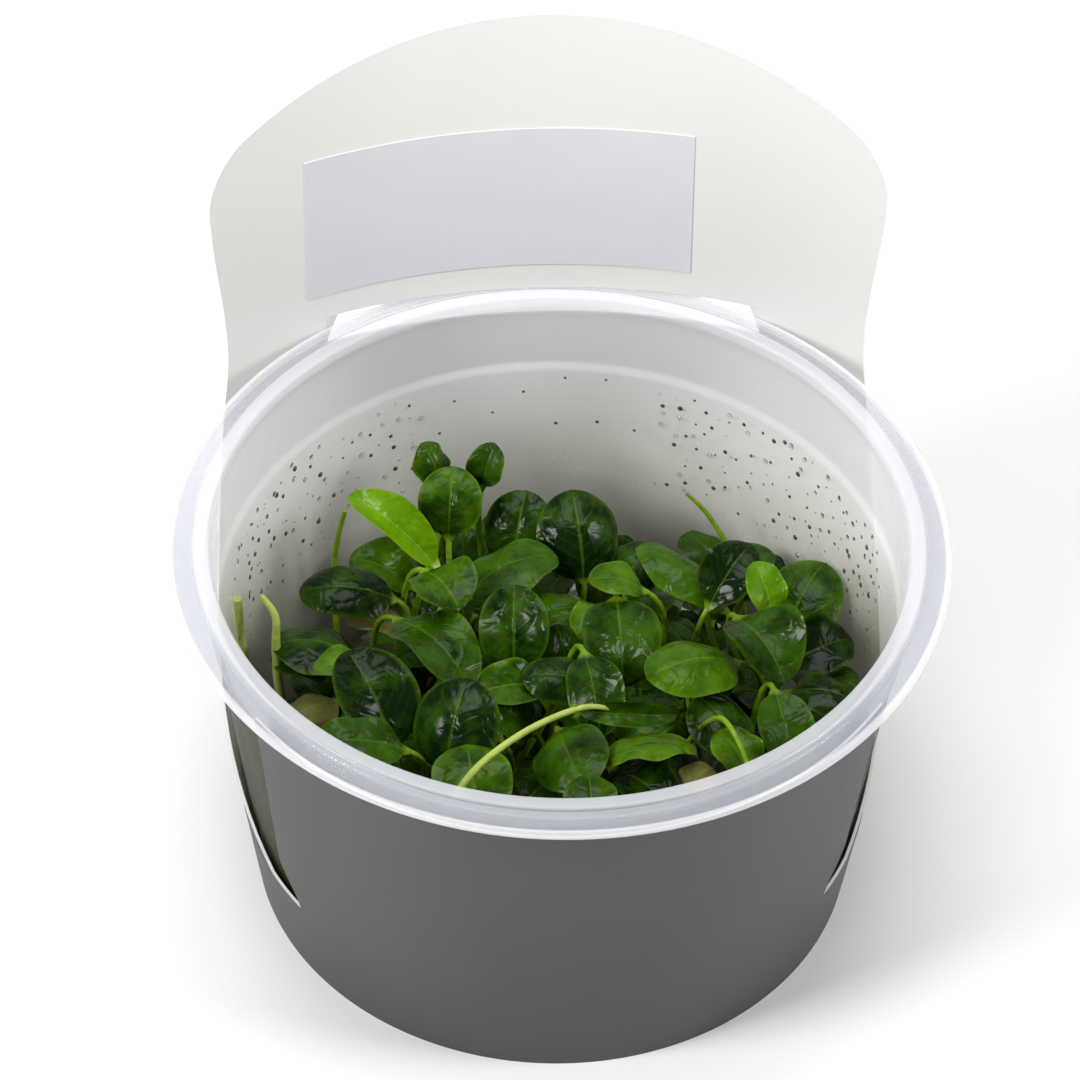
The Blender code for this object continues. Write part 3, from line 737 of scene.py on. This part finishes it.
class Sheet:
    """A sheet of card as one closed mesh, built from cells whose corners are named by grid keys."""

    def __init__(self, inner, outer):
        self.inner = inner
        self.outer = outer
        self.numbers = {}
        self.points = []
        self.cells = []

    def number(self, key, side, place, offset):
        if (key, side) not in self.numbers:
            self.numbers[key, side] = len(self.points)
            self.points.append(place(offset))
        return self.numbers[key, side]

    def cell(self, corners):
        """corners: four (key, function of offset) pairs, in order round the cell."""
        inner = [self.number(key, "in", place, self.inner) for key, place in corners]
        outer = [self.number(key, "out", place, self.outer) for key, place in corners]
        self.cells.append((inner, outer))

    def grid(self, columns, rows, corner):
        """Cells over a grid; corner gives the key and place of a column and row."""
        for low, high in zip(rows, rows[1:]):
            for left, right in zip(columns, columns[1:]):
                ring = ((left, low), (right, low), (right, high), (left, high))
                self.cell([corner(*spot) for spot in ring])

    def faces(self):
        """Faces, and for each its side: 0 outside, 1 inside, 2 cut edge."""
        made = []
        sides = []
        edges = {}
        for inner, outer in self.cells:
            made += [tuple(inner), tuple(reversed(outer))]
            sides += [1, 0]
            for step in range(4):
                after = (step + 1) % 4
                name = frozenset((inner[step], inner[after]))
                edges.setdefault(name, []).append((inner[step], inner[after], outer[after], outer[step]))
        rims = [wall[0] for wall in edges.values() if len(wall) == 1]
        return made + rims, sides + [2] * len(rims)


def half_columns(first, last):
    """Edges of the card's cells, two to a column."""
    return even_steps(first, last, int(2 * (last - first)))


def band_corner(column, height):
    key = ("band", round(column % (360 / CARD_COLUMN_DEG), 3), round(height, 3))
    turn = math.radians(column * CARD_COLUMN_DEG)

    def place(offset):
        reach = band_radius(height) + offset
        return (reach * math.sin(turn), reach * math.cos(turn), height)

    return key, place


def wing_corner(column, share):
    """A corner of the back: share 0 is the band's top row, and share 1 the header's top edge."""
    if share == 0:
        return band_corner(column, BAND_TOP_Z)
    even = column / WING_COLUMNS
    spread = even + (math.sin(0.5 * math.pi * even) - even) * share
    side_z = BAND_TOP_Z + (header_top(HEADER_HALF_WIDTH) - BAND_TOP_Z) * share
    along = spread * wing_half_width(side_z)
    height = BAND_TOP_Z + (header_top(spread * HEADER_HALF_WIDTH) - BAND_TOP_Z) * share
    return ("wing", column, share), lambda offset: back_point(along, height, offset)


def panel_corner(column, height):
    """A corner of the front panel: columns count from its middle line."""
    if height == BAND_TOP_Z:
        return band_corner(180 / CARD_COLUMN_DEG - column, BAND_TOP_Z)
    degrees = column / FRONT_PANEL_COLUMNS * front_edge(height)
    return ("panel", column, height), lambda offset: front_point(degrees, height, offset)


def make_sleeve(outside, inside, edge):
    """One die-cut sheet: a band round the foot, the back with its header, and the front panel."""
    sheet = Sheet(-CARD_THICKNESS / 2, CARD_THICKNESS / 2)
    sheet.grid(half_columns(0, 360 / CARD_COLUMN_DEG), even_steps(0, BAND_TOP_Z, BAND_ROWS), band_corner)
    shares = [0.6 * share**1.25 + 0.4 * share for share in even_steps(0, 1, BACK_ROWS)]
    sheet.grid(half_columns(-WING_COLUMNS, WING_COLUMNS), shares, wing_corner)
    panel = half_columns(-FRONT_PANEL_COLUMNS, FRONT_PANEL_COLUMNS)
    sheet.grid(panel, even_steps(BAND_TOP_Z, FRONT_PANEL_TOP_Z, PANEL_ROWS), panel_corner)
    faces, sides = sheet.faces()
    card = piece_from("sleeve_card", sheet.points, faces, [outside, inside, edge], sides)
    cut_rim_slot(card, edge)
    settle(card, "printed_card", "card_sleeve")


def cut_rim_slot(card, edge):
    """The slot in the back that the cup's rim stands through."""
    reach = RIM_RADIUS + SLOT_CLEARANCE
    profile = ((0, SLOT_LOW_Z), (reach, SLOT_LOW_Z), (reach, SLOT_HIGH_Z), (0, SLOT_HIGH_Z))
    cutter = piece_from("rim_slot_cutter", *turned(profile, CUP_SEGMENTS), [edge])
    cut = card.modifiers.new("rim_slot", "BOOLEAN")
    cut.operation = "DIFFERENCE"
    cut.solver = "EXACT"
    cut.material_mode = "TRANSFER"
    cut.object = cutter
    bake_modifiers(card)
    bpy.data.objects.remove(cutter, do_unlink=True)


def bake_modifiers(piece):
    """Puts what the modifiers make into the piece's own mesh, and takes them off."""
    evaluated = piece.evaluated_get(bpy.context.evaluated_depsgraph_get())
    mesh = bpy.data.meshes.new_from_object(evaluated)
    piece.modifiers.clear()
    old = piece.data
    piece.data = mesh
    bpy.data.meshes.remove(old)
    mesh.set_sharp_from_angle(angle=math.radians(40))


def make_label(finish):
    """A bare rectangular label stuck on the header's inner face."""
    sheet = Sheet(LABEL_BACK - LABEL_THICKNESS, LABEL_BACK)

    def corner(along, height):
        return (along, height), lambda offset: back_point(along, height, offset)

    across = even_steps(LABEL_LEFT, LABEL_RIGHT, 60)
    sheet.grid(across, even_steps(LABEL_LOW_Z, LABEL_HIGH_Z, 24), corner)
    faces, _ = sheet.faces()
    label = piece_from("bare_label_sheet", sheet.points, faces, [finish])
    settle(label, "bare_label", "name_label")


# -------- plants


class Leaf:
    """One blade and its stalk. The blade's frame is: run to the tip, side, and up out of its upper face."""

    def __init__(self, centre, heading, pitch, roll, length, width, curl):
        heading, pitch, roll = (math.radians(value) for value in (heading, pitch, roll))
        self.centre = Vector(centre)
        self.length = length * BLADE_GROWTH
        self.width = width * BLADE_GROWTH
        self.curl = curl
        self.run = Vector(
            (math.cos(pitch) * math.cos(heading), math.cos(pitch) * math.sin(heading), math.sin(pitch))
        )
        level = Vector((-math.sin(heading), math.cos(heading), 0))
        up = self.run.cross(level)
        self.side = level * math.cos(roll) + up * math.sin(roll)
        self.up = self.run.cross(self.side)
        self.foot = None
        self.bow = 0.15

    def half_width(self, share):
        """A round coin blade with a short drawn-out tip."""
        bulge = max(1 - abs(2 * share**0.92 - 1) ** 2.3, 0) ** 0.55
        return 0.5 * self.width * bulge

    def blade_point(self, share, across, lift=0.0):
        """share runs from stalk to tip, across from -1 to 1, and lift is height off the mid-surface."""
        sideways = across * self.half_width(share)
        arch = -0.16 * self.length * (2 * share - 1) ** 2
        cupping = self.curl * sideways**2 / self.width
        along = (share - 0.5) * self.length
        return self.centre + self.run * along + self.side * sideways + self.up * (arch + cupping + lift)

    def stalk_curve(self, share):
        """A cubic curve from the foot on the rhizome to the blade's base."""
        base = self.blade_point(0, 0)
        reach = (base - self.foot).length
        rise = Vector((self.bow * (base.x - self.foot.x), self.bow * (base.y - self.foot.y), 0.45 * reach))
        start = self.foot + rise
        finish = base - (self.run + self.up * 0.35) * 0.3 * reach
        rest = 1 - share
        outer = self.foot * rest**3 + base * share**3
        return outer + start * 3 * rest**2 * share + finish * 3 * rest * share**2

    def take_place(self, node):
        """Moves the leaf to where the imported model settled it, and finds its foot."""
        corners = {tuple(round(value / MM, 3) for value in vertex.co) for vertex in node.data.vertices}
        corners = [Vector(corner) for corner in corners]
        places = ((1, 0), (0.5, -1), (0.22, 1), (0.76, 1))
        self.centre += best_shift([self.blade_point(*place) for place in places], corners)
        corners.sort(key=lambda corner: corner.z)
        self.foot = sum(corners[:6], Vector()) / 6
        ring = sum(corners[6:12], Vector()) / 6
        gaps = []
        for bow in (0.15, 0.5):
            self.bow = bow
            gaps.append(((self.stalk_curve(0.35) - ring).length, bow))
        self.bow = min(gaps)[1]
        return self

    def stalk_ring(self, share, radius, corners):
        here = self.stalk_curve(share)
        run = (self.stalk_curve(share + 0.02) - self.stalk_curve(share - 0.02)).normalized()
        side = (self.side - run * self.side.dot(run)).normalized()
        return circle(here, -side, run.cross(side), radius, corners)

    def blade_ring(self, share, wave, phase, fold):
        """Upper face from one margin to the other, then the lower face back; fold lifts both halves."""
        half = max(self.half_width(share), 0.05)
        end = 1 - 0.75 * smooth_step((share - 0.75) / 0.25)
        rim = 0.075 * min(1, half / 1.5)
        ring = []
        for across, upper in ring_places():
            swell = rim + 0.13 * end * (1 - across * across) ** 0.5
            rib = math.exp(-((across * half / 0.42) ** 2))
            lift = swell - 0.20 * rib * end if upper else -swell - 0.34 * rib * (1 - share) - 0.05 * rib
            ripple = wave * across**4 * math.sin(9 * share * (1 if across > 0 else 1.3) + phase + across)
            ripple += fold * half * (across * across) ** 0.75
            ring.append(self.blade_point(share, across, lift + ripple))
        return ring

    def build(self, wave, phase, fold=0.0):
        """Points, faces, and each point's share along, place across, upper side and so on."""
        rings = []
        marks = []
        size = len(ring_places())
        sink = Vector((0, 0, 0.7))
        for share in (0.0, 0.06, 0.14, 0.24, 0.36, 0.48, 0.6, 0.72, 0.82, 0.9, 0.96):
            flare = 0.35 * max(0, 0.14 - share) / 0.14
            radius = STALK_RADIUS * (1.0 + flare - 0.22 * share)
            ring = self.stalk_ring(max(share, 0.001), radius, size)
            rings.append([corner - sink if share == 0 else corner for corner in ring])
            marks += [(-1.0 + share, 0.0, 1.0)] * size
        for step in range(23):
            share = 0.02 + 0.96 * smooth_share(step / 22)
            rings.append(self.blade_ring(share, wave, phase, fold))
            marks += [(share, across, 1.0 if upper else 0.0) for across, upper in ring_places()]
        marks.append((1.0, 0.0, 1.0))
        points, faces = loft(rings, self.blade_point(1, 0))
        return points, faces, marks


def smooth_share(value):
    """Even steps drawn a little closer at both ends."""
    return value + 0.35 * (smooth_step(value) - value)


def ring_places():
    """Places round a blade's section: (across, whether on the upper face)."""
    upper = (-1, -0.85, -0.65, -0.42, -0.2, -0.08, 0, 0.08, 0.2, 0.42, 0.65, 0.85, 1)
    lower = (0.85, 0.6, 0.3, 0.1, 0, -0.1, -0.3, -0.6, -0.85)
    return [(place, True) for place in upper] + [(place, False) for place in lower]


def best_shift(marks, corners):
    """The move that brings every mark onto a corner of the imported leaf."""

    def miss(move):
        return sum(min((mark + move - other).length for other in corners) for mark in marks[1:])

    move = min((corner - marks[0] for corner in corners), key=miss)
    if miss(move) > 0.05:
        raise RuntimeError("a leaf's place in the packed model wasn't found")
    return move


def hold(mesh, marks, tint):
    """Keeps what the leaf materials read at each point: share along, place across, upper side, and tint."""
    marks = [(*mark, tint) for mark in marks]
    for name, values in zip(("share", "across", "face", "tint"), zip(*marks)):
        mesh.attributes.new(f"leaf_{name}", "FLOAT", "POINT").data.foreach_set("value", values)


def leaf_piece(name, leaf, finish, chance):
    wave = chance.uniform(0.15, 0.55)
    phase = chance.uniform(0, 6)
    points, faces, marks = leaf.build(wave, phase, chance.uniform(-0.12, 0.16))
    made = piece_from(name, points, faces, [finish])
    hold(made.data, marks, chance.uniform(0, 1))
    return made


def make_leaves(skins):
    """The leaves of the model, each in its packed place."""
    chance = random.Random(11)
    for number, (tone, x, y, z, *shape) in enumerate(LEAVES, 1):
        node = f"leaf_{number:02d}"
        leaf = Leaf((x, y, z), *shape).take_place(frame["nodes"][node])
        made = leaf_piece(f"{node}_blade", leaf, skins[tone], chance)
        settle(made, f"leaf_{tone}", node)


def fits_cup(leaf):
    """Whether the whole blade stays clear of the cup's wall."""
    for share in (0.0, 0.2, 0.4, 0.6, 0.8, 1.0):
        for across in (-1, 0, 1):
            point = leaf.blade_point(share, across)
            if math.hypot(point.x, point.y) > cup_inner_radius(min(point.z, SHOULDER_Z)) - 0.7:
                return False
    return True


def packed_tree():
    """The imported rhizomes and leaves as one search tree, in millimetres."""
    points = []
    faces = []
    for name, node in frame["nodes"].items():
        if name.startswith(("leaf_", "rhizome_")):
            faces += [tuple(corner + len(points) for corner in face.vertices) for face in node.data.polygons]
            points += [vertex.co / MM for vertex in node.data.vertices]
    return BVHTree.FromPolygons(points, faces)


def make_filler_leaves(skins):
    """Smaller leaves that crowd the gaps between the leaves of the model, each in a free place."""
    chance = random.Random(42)
    taken = [packed_tree()]
    kinds = ["dark"] * 6 + ["mid"] * 3 + ["young"]
    made = 0
    for _ in range(FILLER_TRIES):
        turn = chance.uniform(0, 2 * math.pi)
        reach = FILLER_REACH * math.sqrt(chance.random())
        x = reach * math.cos(turn)
        y = reach * math.sin(turn)
        height = chance.uniform(21, 38) if y < 14 else chance.uniform(20, 27)
        length = chance.uniform(6.0, 9.5)
        pitch = chance.uniform(-20, 45)
        shape = (math.degrees(turn) + chance.uniform(-70, 70), pitch, chance.uniform(-22, 22), length)
        leaf = Leaf((x, y, height), *shape, length * chance.uniform(0.72, 0.95), chance.uniform(-1.0, 0.9))
        ceiling = 46 - 0.22 * reach
        if height > ceiling or not fits_cup(leaf):
            continue
        leaf.foot = Vector((x * 0.86 - 2 * math.cos(turn), y * 0.86 - 2 * math.sin(turn), gel_high.z + 0.4))
        points, faces, _ = leaf.build(0.2, 0)
        own = BVHTree.FromPolygons(points, faces)
        if any(own.overlap(other) for other in taken):
            continue
        taken.append(own)
        made += 1
        tone = chance.choice(kinds)
        piece = leaf_piece(f"filler_leaf_{made:02d}", leaf, skins[tone], chance)
        settle(piece, f"leaf_{tone}")
        if made == FILLER_LEAVES:
            break


def make_rhizomes(finish):
    """Knobbly creeping stems with ringed leaf scars."""
    steps = 40
    corners = 20
    for letter, x, y, degrees, length in RHIZOMES:
        turn = math.radians(degrees)
        run = Vector((math.cos(turn), math.sin(turn), 0))
        side = Vector((-math.sin(turn), math.cos(turn), 0))
        middle = Vector((x, y, RHIZOME_Z))
        rings = []
        for share in even_steps(0, 1, steps):
            swell = math.sqrt(max(1 - (2 * share - 1) ** 4, 0)) * 0.75 + 0.17
            ridge = 0.06 * abs(math.sin(7 * math.pi * share))
            ring = []
            for corner in range(corners):
                angle = 2 * math.pi * corner / corners
                knob = 0.08 * noise.noise(Vector((math.cos(angle), math.sin(angle), 9 * share + x)))
                radius = RHIZOME_RADIUS * min(swell + ridge + knob, 1.0)
                out = side * math.cos(angle) + Vector((0, 0, math.sin(angle)))
                ring.append(middle + run * (share - 0.5) * length + out * radius)
            rings.append(ring)
        points, faces = loft(rings, middle + run * (0.5 * length + 0.4))
        name = f"rhizome_{letter}"
        piece_from(f"{name}_stem", points, faces, [finish], slot="rhizome_skin", stands_for=[name])


class Recipe(Tree):
    """A Geometry Nodes tree with named inputs."""

    def __init__(self, name, sizes):
        group = bpy.data.node_groups.new(name, "GeometryNodeTree")
        super().__init__(group)
        self.ids = {}
        for key, kind in {"Geometry": "Geometry", **sizes}.items():
            socket = group.interface.new_socket(key, in_out="INPUT", socket_type=f"NodeSocket{kind}")
            self.ids[key] = socket.identifier
        group.interface.new_socket("Geometry", in_out="OUTPUT", socket_type="NodeSocketGeometry")
        self.start = group.nodes.new("NodeGroupInput")

    def given(self, name):
        return Wire(self, self.start.outputs[name])

    def chance(self, low, high, seed):
        """A random number for each point."""
        limits = {2: low, 3: high, 8: seed}
        return self.node("FunctionNodeRandomValue", {"data_type": "FLOAT"}, limits, output=1)

    def end(self, geometry, finish):
        """Every recipe ends in plain geometry with its finish."""
        whole = self.node("GeometryNodeRealizeInstances", {}, {"Geometry": geometry})
        done = self.node("GeometryNodeSetMaterial", {}, {"Geometry": whole, "Material": finish})
        self.node("NodeGroupOutput", {}, {"Geometry": done})


def scatter_recipe():
    """Stands copies of a sample piece all over a base, each turned, tilted and sized at random."""
    sizes = dict.fromkeys(("Spacing", "Crowding", "Smallest", "Largest", "Tilt"), "Float")
    recipe = Recipe("scatter", {"Sample": "Object", "Finish": "Material", **sizes, "Seed": "Int"})
    seed = recipe.given("Seed")
    spread = {
        "Mesh": recipe.given("Geometry"),
        "Distance Min": recipe.given("Spacing"),
        "Density Max": recipe.given("Crowding"),
        "Seed": seed,
    }
    settings = {"distribute_method": "POISSON"}
    spots = recipe.node("GeometryNodeDistributePointsOnFaces", settings, spread)
    stand = Wire(recipe, spots.socket.node.outputs["Rotation"])
    tilt = recipe.given("Tilt")
    low = recipe.node("ShaderNodeCombineXYZ", {}, {0: 0 - tilt, 1: 0 - tilt, 2: 0.0})
    high = recipe.node("ShaderNodeCombineXYZ", {}, {0: tilt, 1: tilt, 2: 2 * math.pi})
    lean = recipe.node("FunctionNodeRandomValue", {"data_type": "FLOAT_VECTOR"}, {0: low, 1: high, 8: seed})
    size = recipe.chance(recipe.given("Smallest"), recipe.given("Largest"), seed + 1)
    turned_by = {"Rotation": stand, "Rotate By": lean}
    stand = recipe.node("FunctionNodeRotateRotation", {"rotation_space": "LOCAL"}, turned_by)
    sample = recipe.node("GeometryNodeObjectInfo", {}, {"Object": recipe.given("Sample")}, output="Geometry")
    copies = {"Points": spots, "Instance": sample, "Rotation": stand, "Scale": size}
    copies = recipe.node("GeometryNodeInstanceOnPoints", {}, copies)
    kept = {"Geometry": copies, "Name": "leaf_tint", "Value": recipe.chance(0.0, 1.0, seed + 2)}
    kept = recipe.node("GeometryNodeStoreNamedAttribute", {"data_type": "FLOAT", "domain": "INSTANCE"}, kept)
    recipe.end(kept, recipe.given("Finish"))
    return recipe


def scatter(recipe, base, slot, **values):
    """Runs the recipe on a base, which becomes the finished piece; values go to its inputs by name."""
    spread = base.modifiers.new("scatter", "NODES")
    spread.node_group = recipe.web
    for name, value in values.items():
        spread[recipe.ids[name]] = value
    bake_modifiers(base)
    settle(base, slot)
    bpy.data.objects.remove(values["Sample"], do_unlink=True)


def disc_base(name, radius, height):
    """A flat base that faces up, cut into sectors."""
    points = [(0, 0, height)]
    sectors = 36
    for step in range(sectors):
        turn = 2 * math.pi * step / sectors
        points.append((radius * math.cos(turn), radius * math.sin(turn), height))
    faces = [(0, 1 + step, 1 + (step + 1) % sectors) for step in range(sectors)]
    return piece_from(name, points, faces, [], closed=False)


def wall_base(name, first, last, low, high):
    """A strip of the cup's inner wall that faces in, between two directions in degrees from the back."""
    points = []
    steps = 24
    for degrees in even_steps(first, last, steps):
        turn = math.radians(degrees)
        for height in (low, high):
            reach = cup_inner_radius(height)
            points.append((reach * math.sin(turn), reach * math.cos(turn), height))
    faces = [(2 * step, 2 * step + 2, 2 * step + 3, 2 * step + 1) for step in range(steps)]
    return piece_from(name, points, faces, [], closed=False)


def bead(name):
    """A small round bead that sits on its base."""
    flatness = 0.45
    rings = []
    for level in (0.0, 0.35, 0.7, 0.92):
        radius = math.sqrt(1 - level**2)
        rings.append(circle(Vector((0, 0, level * flatness)), RIGHT, Vector((0, 1, 0)), radius, 8))
    return piece_from(name, *loft(rings, (0, 0, flatness)), [])


def make_undergrowth(recipe, skins):
    """The shaded lower leaves, between the jelly and the leaves of the model."""
    chance = random.Random(5)
    layers = (
        ("undergrowth_low", "dark", 9.0, 8.2, 7.0, 9.5, 3),
        ("undergrowth_high", "dark", 14.0, 8.6, 7.4, 9.0, 8),
        ("undergrowth_pale", "mid", 11.5, 7.6, 6.6, 13.0, 21),
    )
    for name, tone, height, length, width, spacing, seed in layers:
        leaf = Leaf((2.2, 0, height), 0, 16, 6, length, width, -0.4)
        leaf.foot = Vector((0, 0, 0))
        scatter(
            recipe,
            disc_base(name, 31.5, gel_high.z + 0.1),
            f"leaf_{tone}",
            Sample=leaf_piece(f"{name}_sample", leaf, skins[tone], chance),
            Finish=skins[tone],
            Spacing=spacing * MM,
            Crowding=0.06 / MM**2,
            Smallest=0.75,
            Largest=1.12,
            Tilt=math.radians(9),
            Seed=seed,
        )


def make_wall_specks(recipe, speck, drop):
    """Damp specks and drops that cling to the wall, thickest at the back's left and right."""
    patches = (
        ("specks_left", (-72, -22, 30, 44), 1.7, speck, 0.10, 0.42, 4),
        ("specks_right", (24, 78, 28, 44), 1.7, speck, 0.10, 0.40, 6),
        ("specks_back", (-20, 24, 36, 44), 5.0, speck, 0.16, 0.34, 9),
        ("drops_left", (-80, -20, 28, 44), 1.7, drop, 0.15, 0.5, 12),
        ("drops_right", (20, 84, 28, 44), 1.7, drop, 0.15, 0.5, 15),
    )
    for name, strip, spacing, finish, smallest, largest, seed in patches:
        scatter(
            recipe,
            wall_base(name, *strip),
            "leaf_old",
            Sample=bead(f"{name}_bead"),
            Finish=finish,
            Spacing=spacing * MM,
            Crowding=0.16 / MM**2,
            Smallest=smallest,
            Largest=largest,
            Tilt=0.0,
            Seed=seed,
        )


def make_bare_stalks(skins):
    """Stalks without a leaf, and a long bright one that arches over the front leaves to a curled leaf."""
    for name, tone, radii, knots in STALKS:
        points, faces = loft(cord_rings(knots, radii), knots[-1])
        made = piece_from(f"stalk_{name}", points, faces, [skins[tone]])
        hold(made.data, [(-0.5, 0.0, 1.0)] * len(points), 0.5)
        settle(made, f"leaf_{tone}")
    curled = Leaf((8.6, -16.4, 41.2), 4, -10, 48, 11.5, 2.9, 1.6)
    curled.foot = Vector((1.2, -17.6, 43.2))
    settle(leaf_piece("curled_leaf", curled, skins["dark"], random.Random(3)), "leaf_dark")


# -------- stage


def make_floor(finish):
    reach = (-900, 900)
    points = [(x, y, -0.05) for y in reach for x in reach]
    piece_from("studio_floor", points, [(0, 1, 3, 2)], [finish])


def soft_light(name, place, aim, size, power):
    lamp = bpy.data.lights.new(name, "AREA")
    lamp.shape = "DISK"
    lamp.size = size
    lamp.energy = power
    made = bpy.data.objects.new(name, lamp)
    made.location = place
    made.rotation_mode = "QUATERNION"
    made.rotation_quaternion = (Vector(aim) - Vector(place)).to_track_quat("-Z", "Y")
    bpy.context.scene.collection.objects.link(made)


def make_lights():
    world = bpy.data.worlds.new("studio_air")
    world.use_nodes = True
    air = world.node_tree.nodes["Background"].inputs
    air["Color"].default_value = (1.0, 1.0, 1.0, 1.0)
    air["Strength"].default_value = 0.24
    bpy.context.scene.world = world
    aim = (0, 0, 0.05)
    soft_light("softbox_top", (-0.05, 0.15, 0.85), aim, 0.6, 4.2)
    soft_light("softbox_left", (-0.65, -0.30, 0.60), aim, 0.32, 6.8)
    soft_light("softbox_right", (0.70, -0.20, 0.55), aim, 0.32, 4.2)
    bpy.context.scene.view_settings.view_transform = "Standard"


def make_camera():
    """Looks down at the cup from the front, a touch from its left."""
    elevation = math.radians(45.184)
    roll = math.radians(1.582)
    yaw = math.radians(-0.207)
    distance = 699.302
    target = Vector((0, 0, 56.248))
    back = Vector((0, -math.cos(elevation), math.sin(elevation)))
    forward = RIGHT * math.sin(yaw) - back * math.cos(yaw)
    flat = forward.cross(RIGHT.cross(forward)).normalized()
    upright = flat.cross(forward)
    across = flat * math.cos(roll) + upright * math.sin(roll)
    upright = across.cross(forward)
    place = Matrix((across, upright, -forward)).transposed().to_4x4()
    place.translation = (target + back * distance) * MM
    lens = bpy.data.cameras.new("camera")
    lens.sensor_width = 36.0
    lens.lens = 183.27
    lens.clip_start = 0.05
    lens.clip_end = 10.0
    camera = bpy.data.objects.new("camera", lens)
    camera.matrix_world = Matrix.Rotation(math.radians(-4), 4, "Z") @ place
    bpy.context.scene.collection.objects.link(camera)
    bpy.context.scene.camera = camera


def main():
    make_camera()
    make_floor(pale_floor())
    make_lights()
    make_cup(cup_plastic())
    make_gel(growing_gel())
    make_sleeve(card_print(), card_inside(), card_edge())
    make_label(label_paper())
    skins = {tone: leaf_skin(tone) for tone in LEAF_TONES}
    make_leaves(skins)
    make_filler_leaves(skins)
    make_rhizomes(rhizome_skin())
    recipe = scatter_recipe()
    make_undergrowth(recipe, skins)
    make_wall_specks(recipe, wall_speck(), water_drop())
    make_bare_stalks(skins)


main()
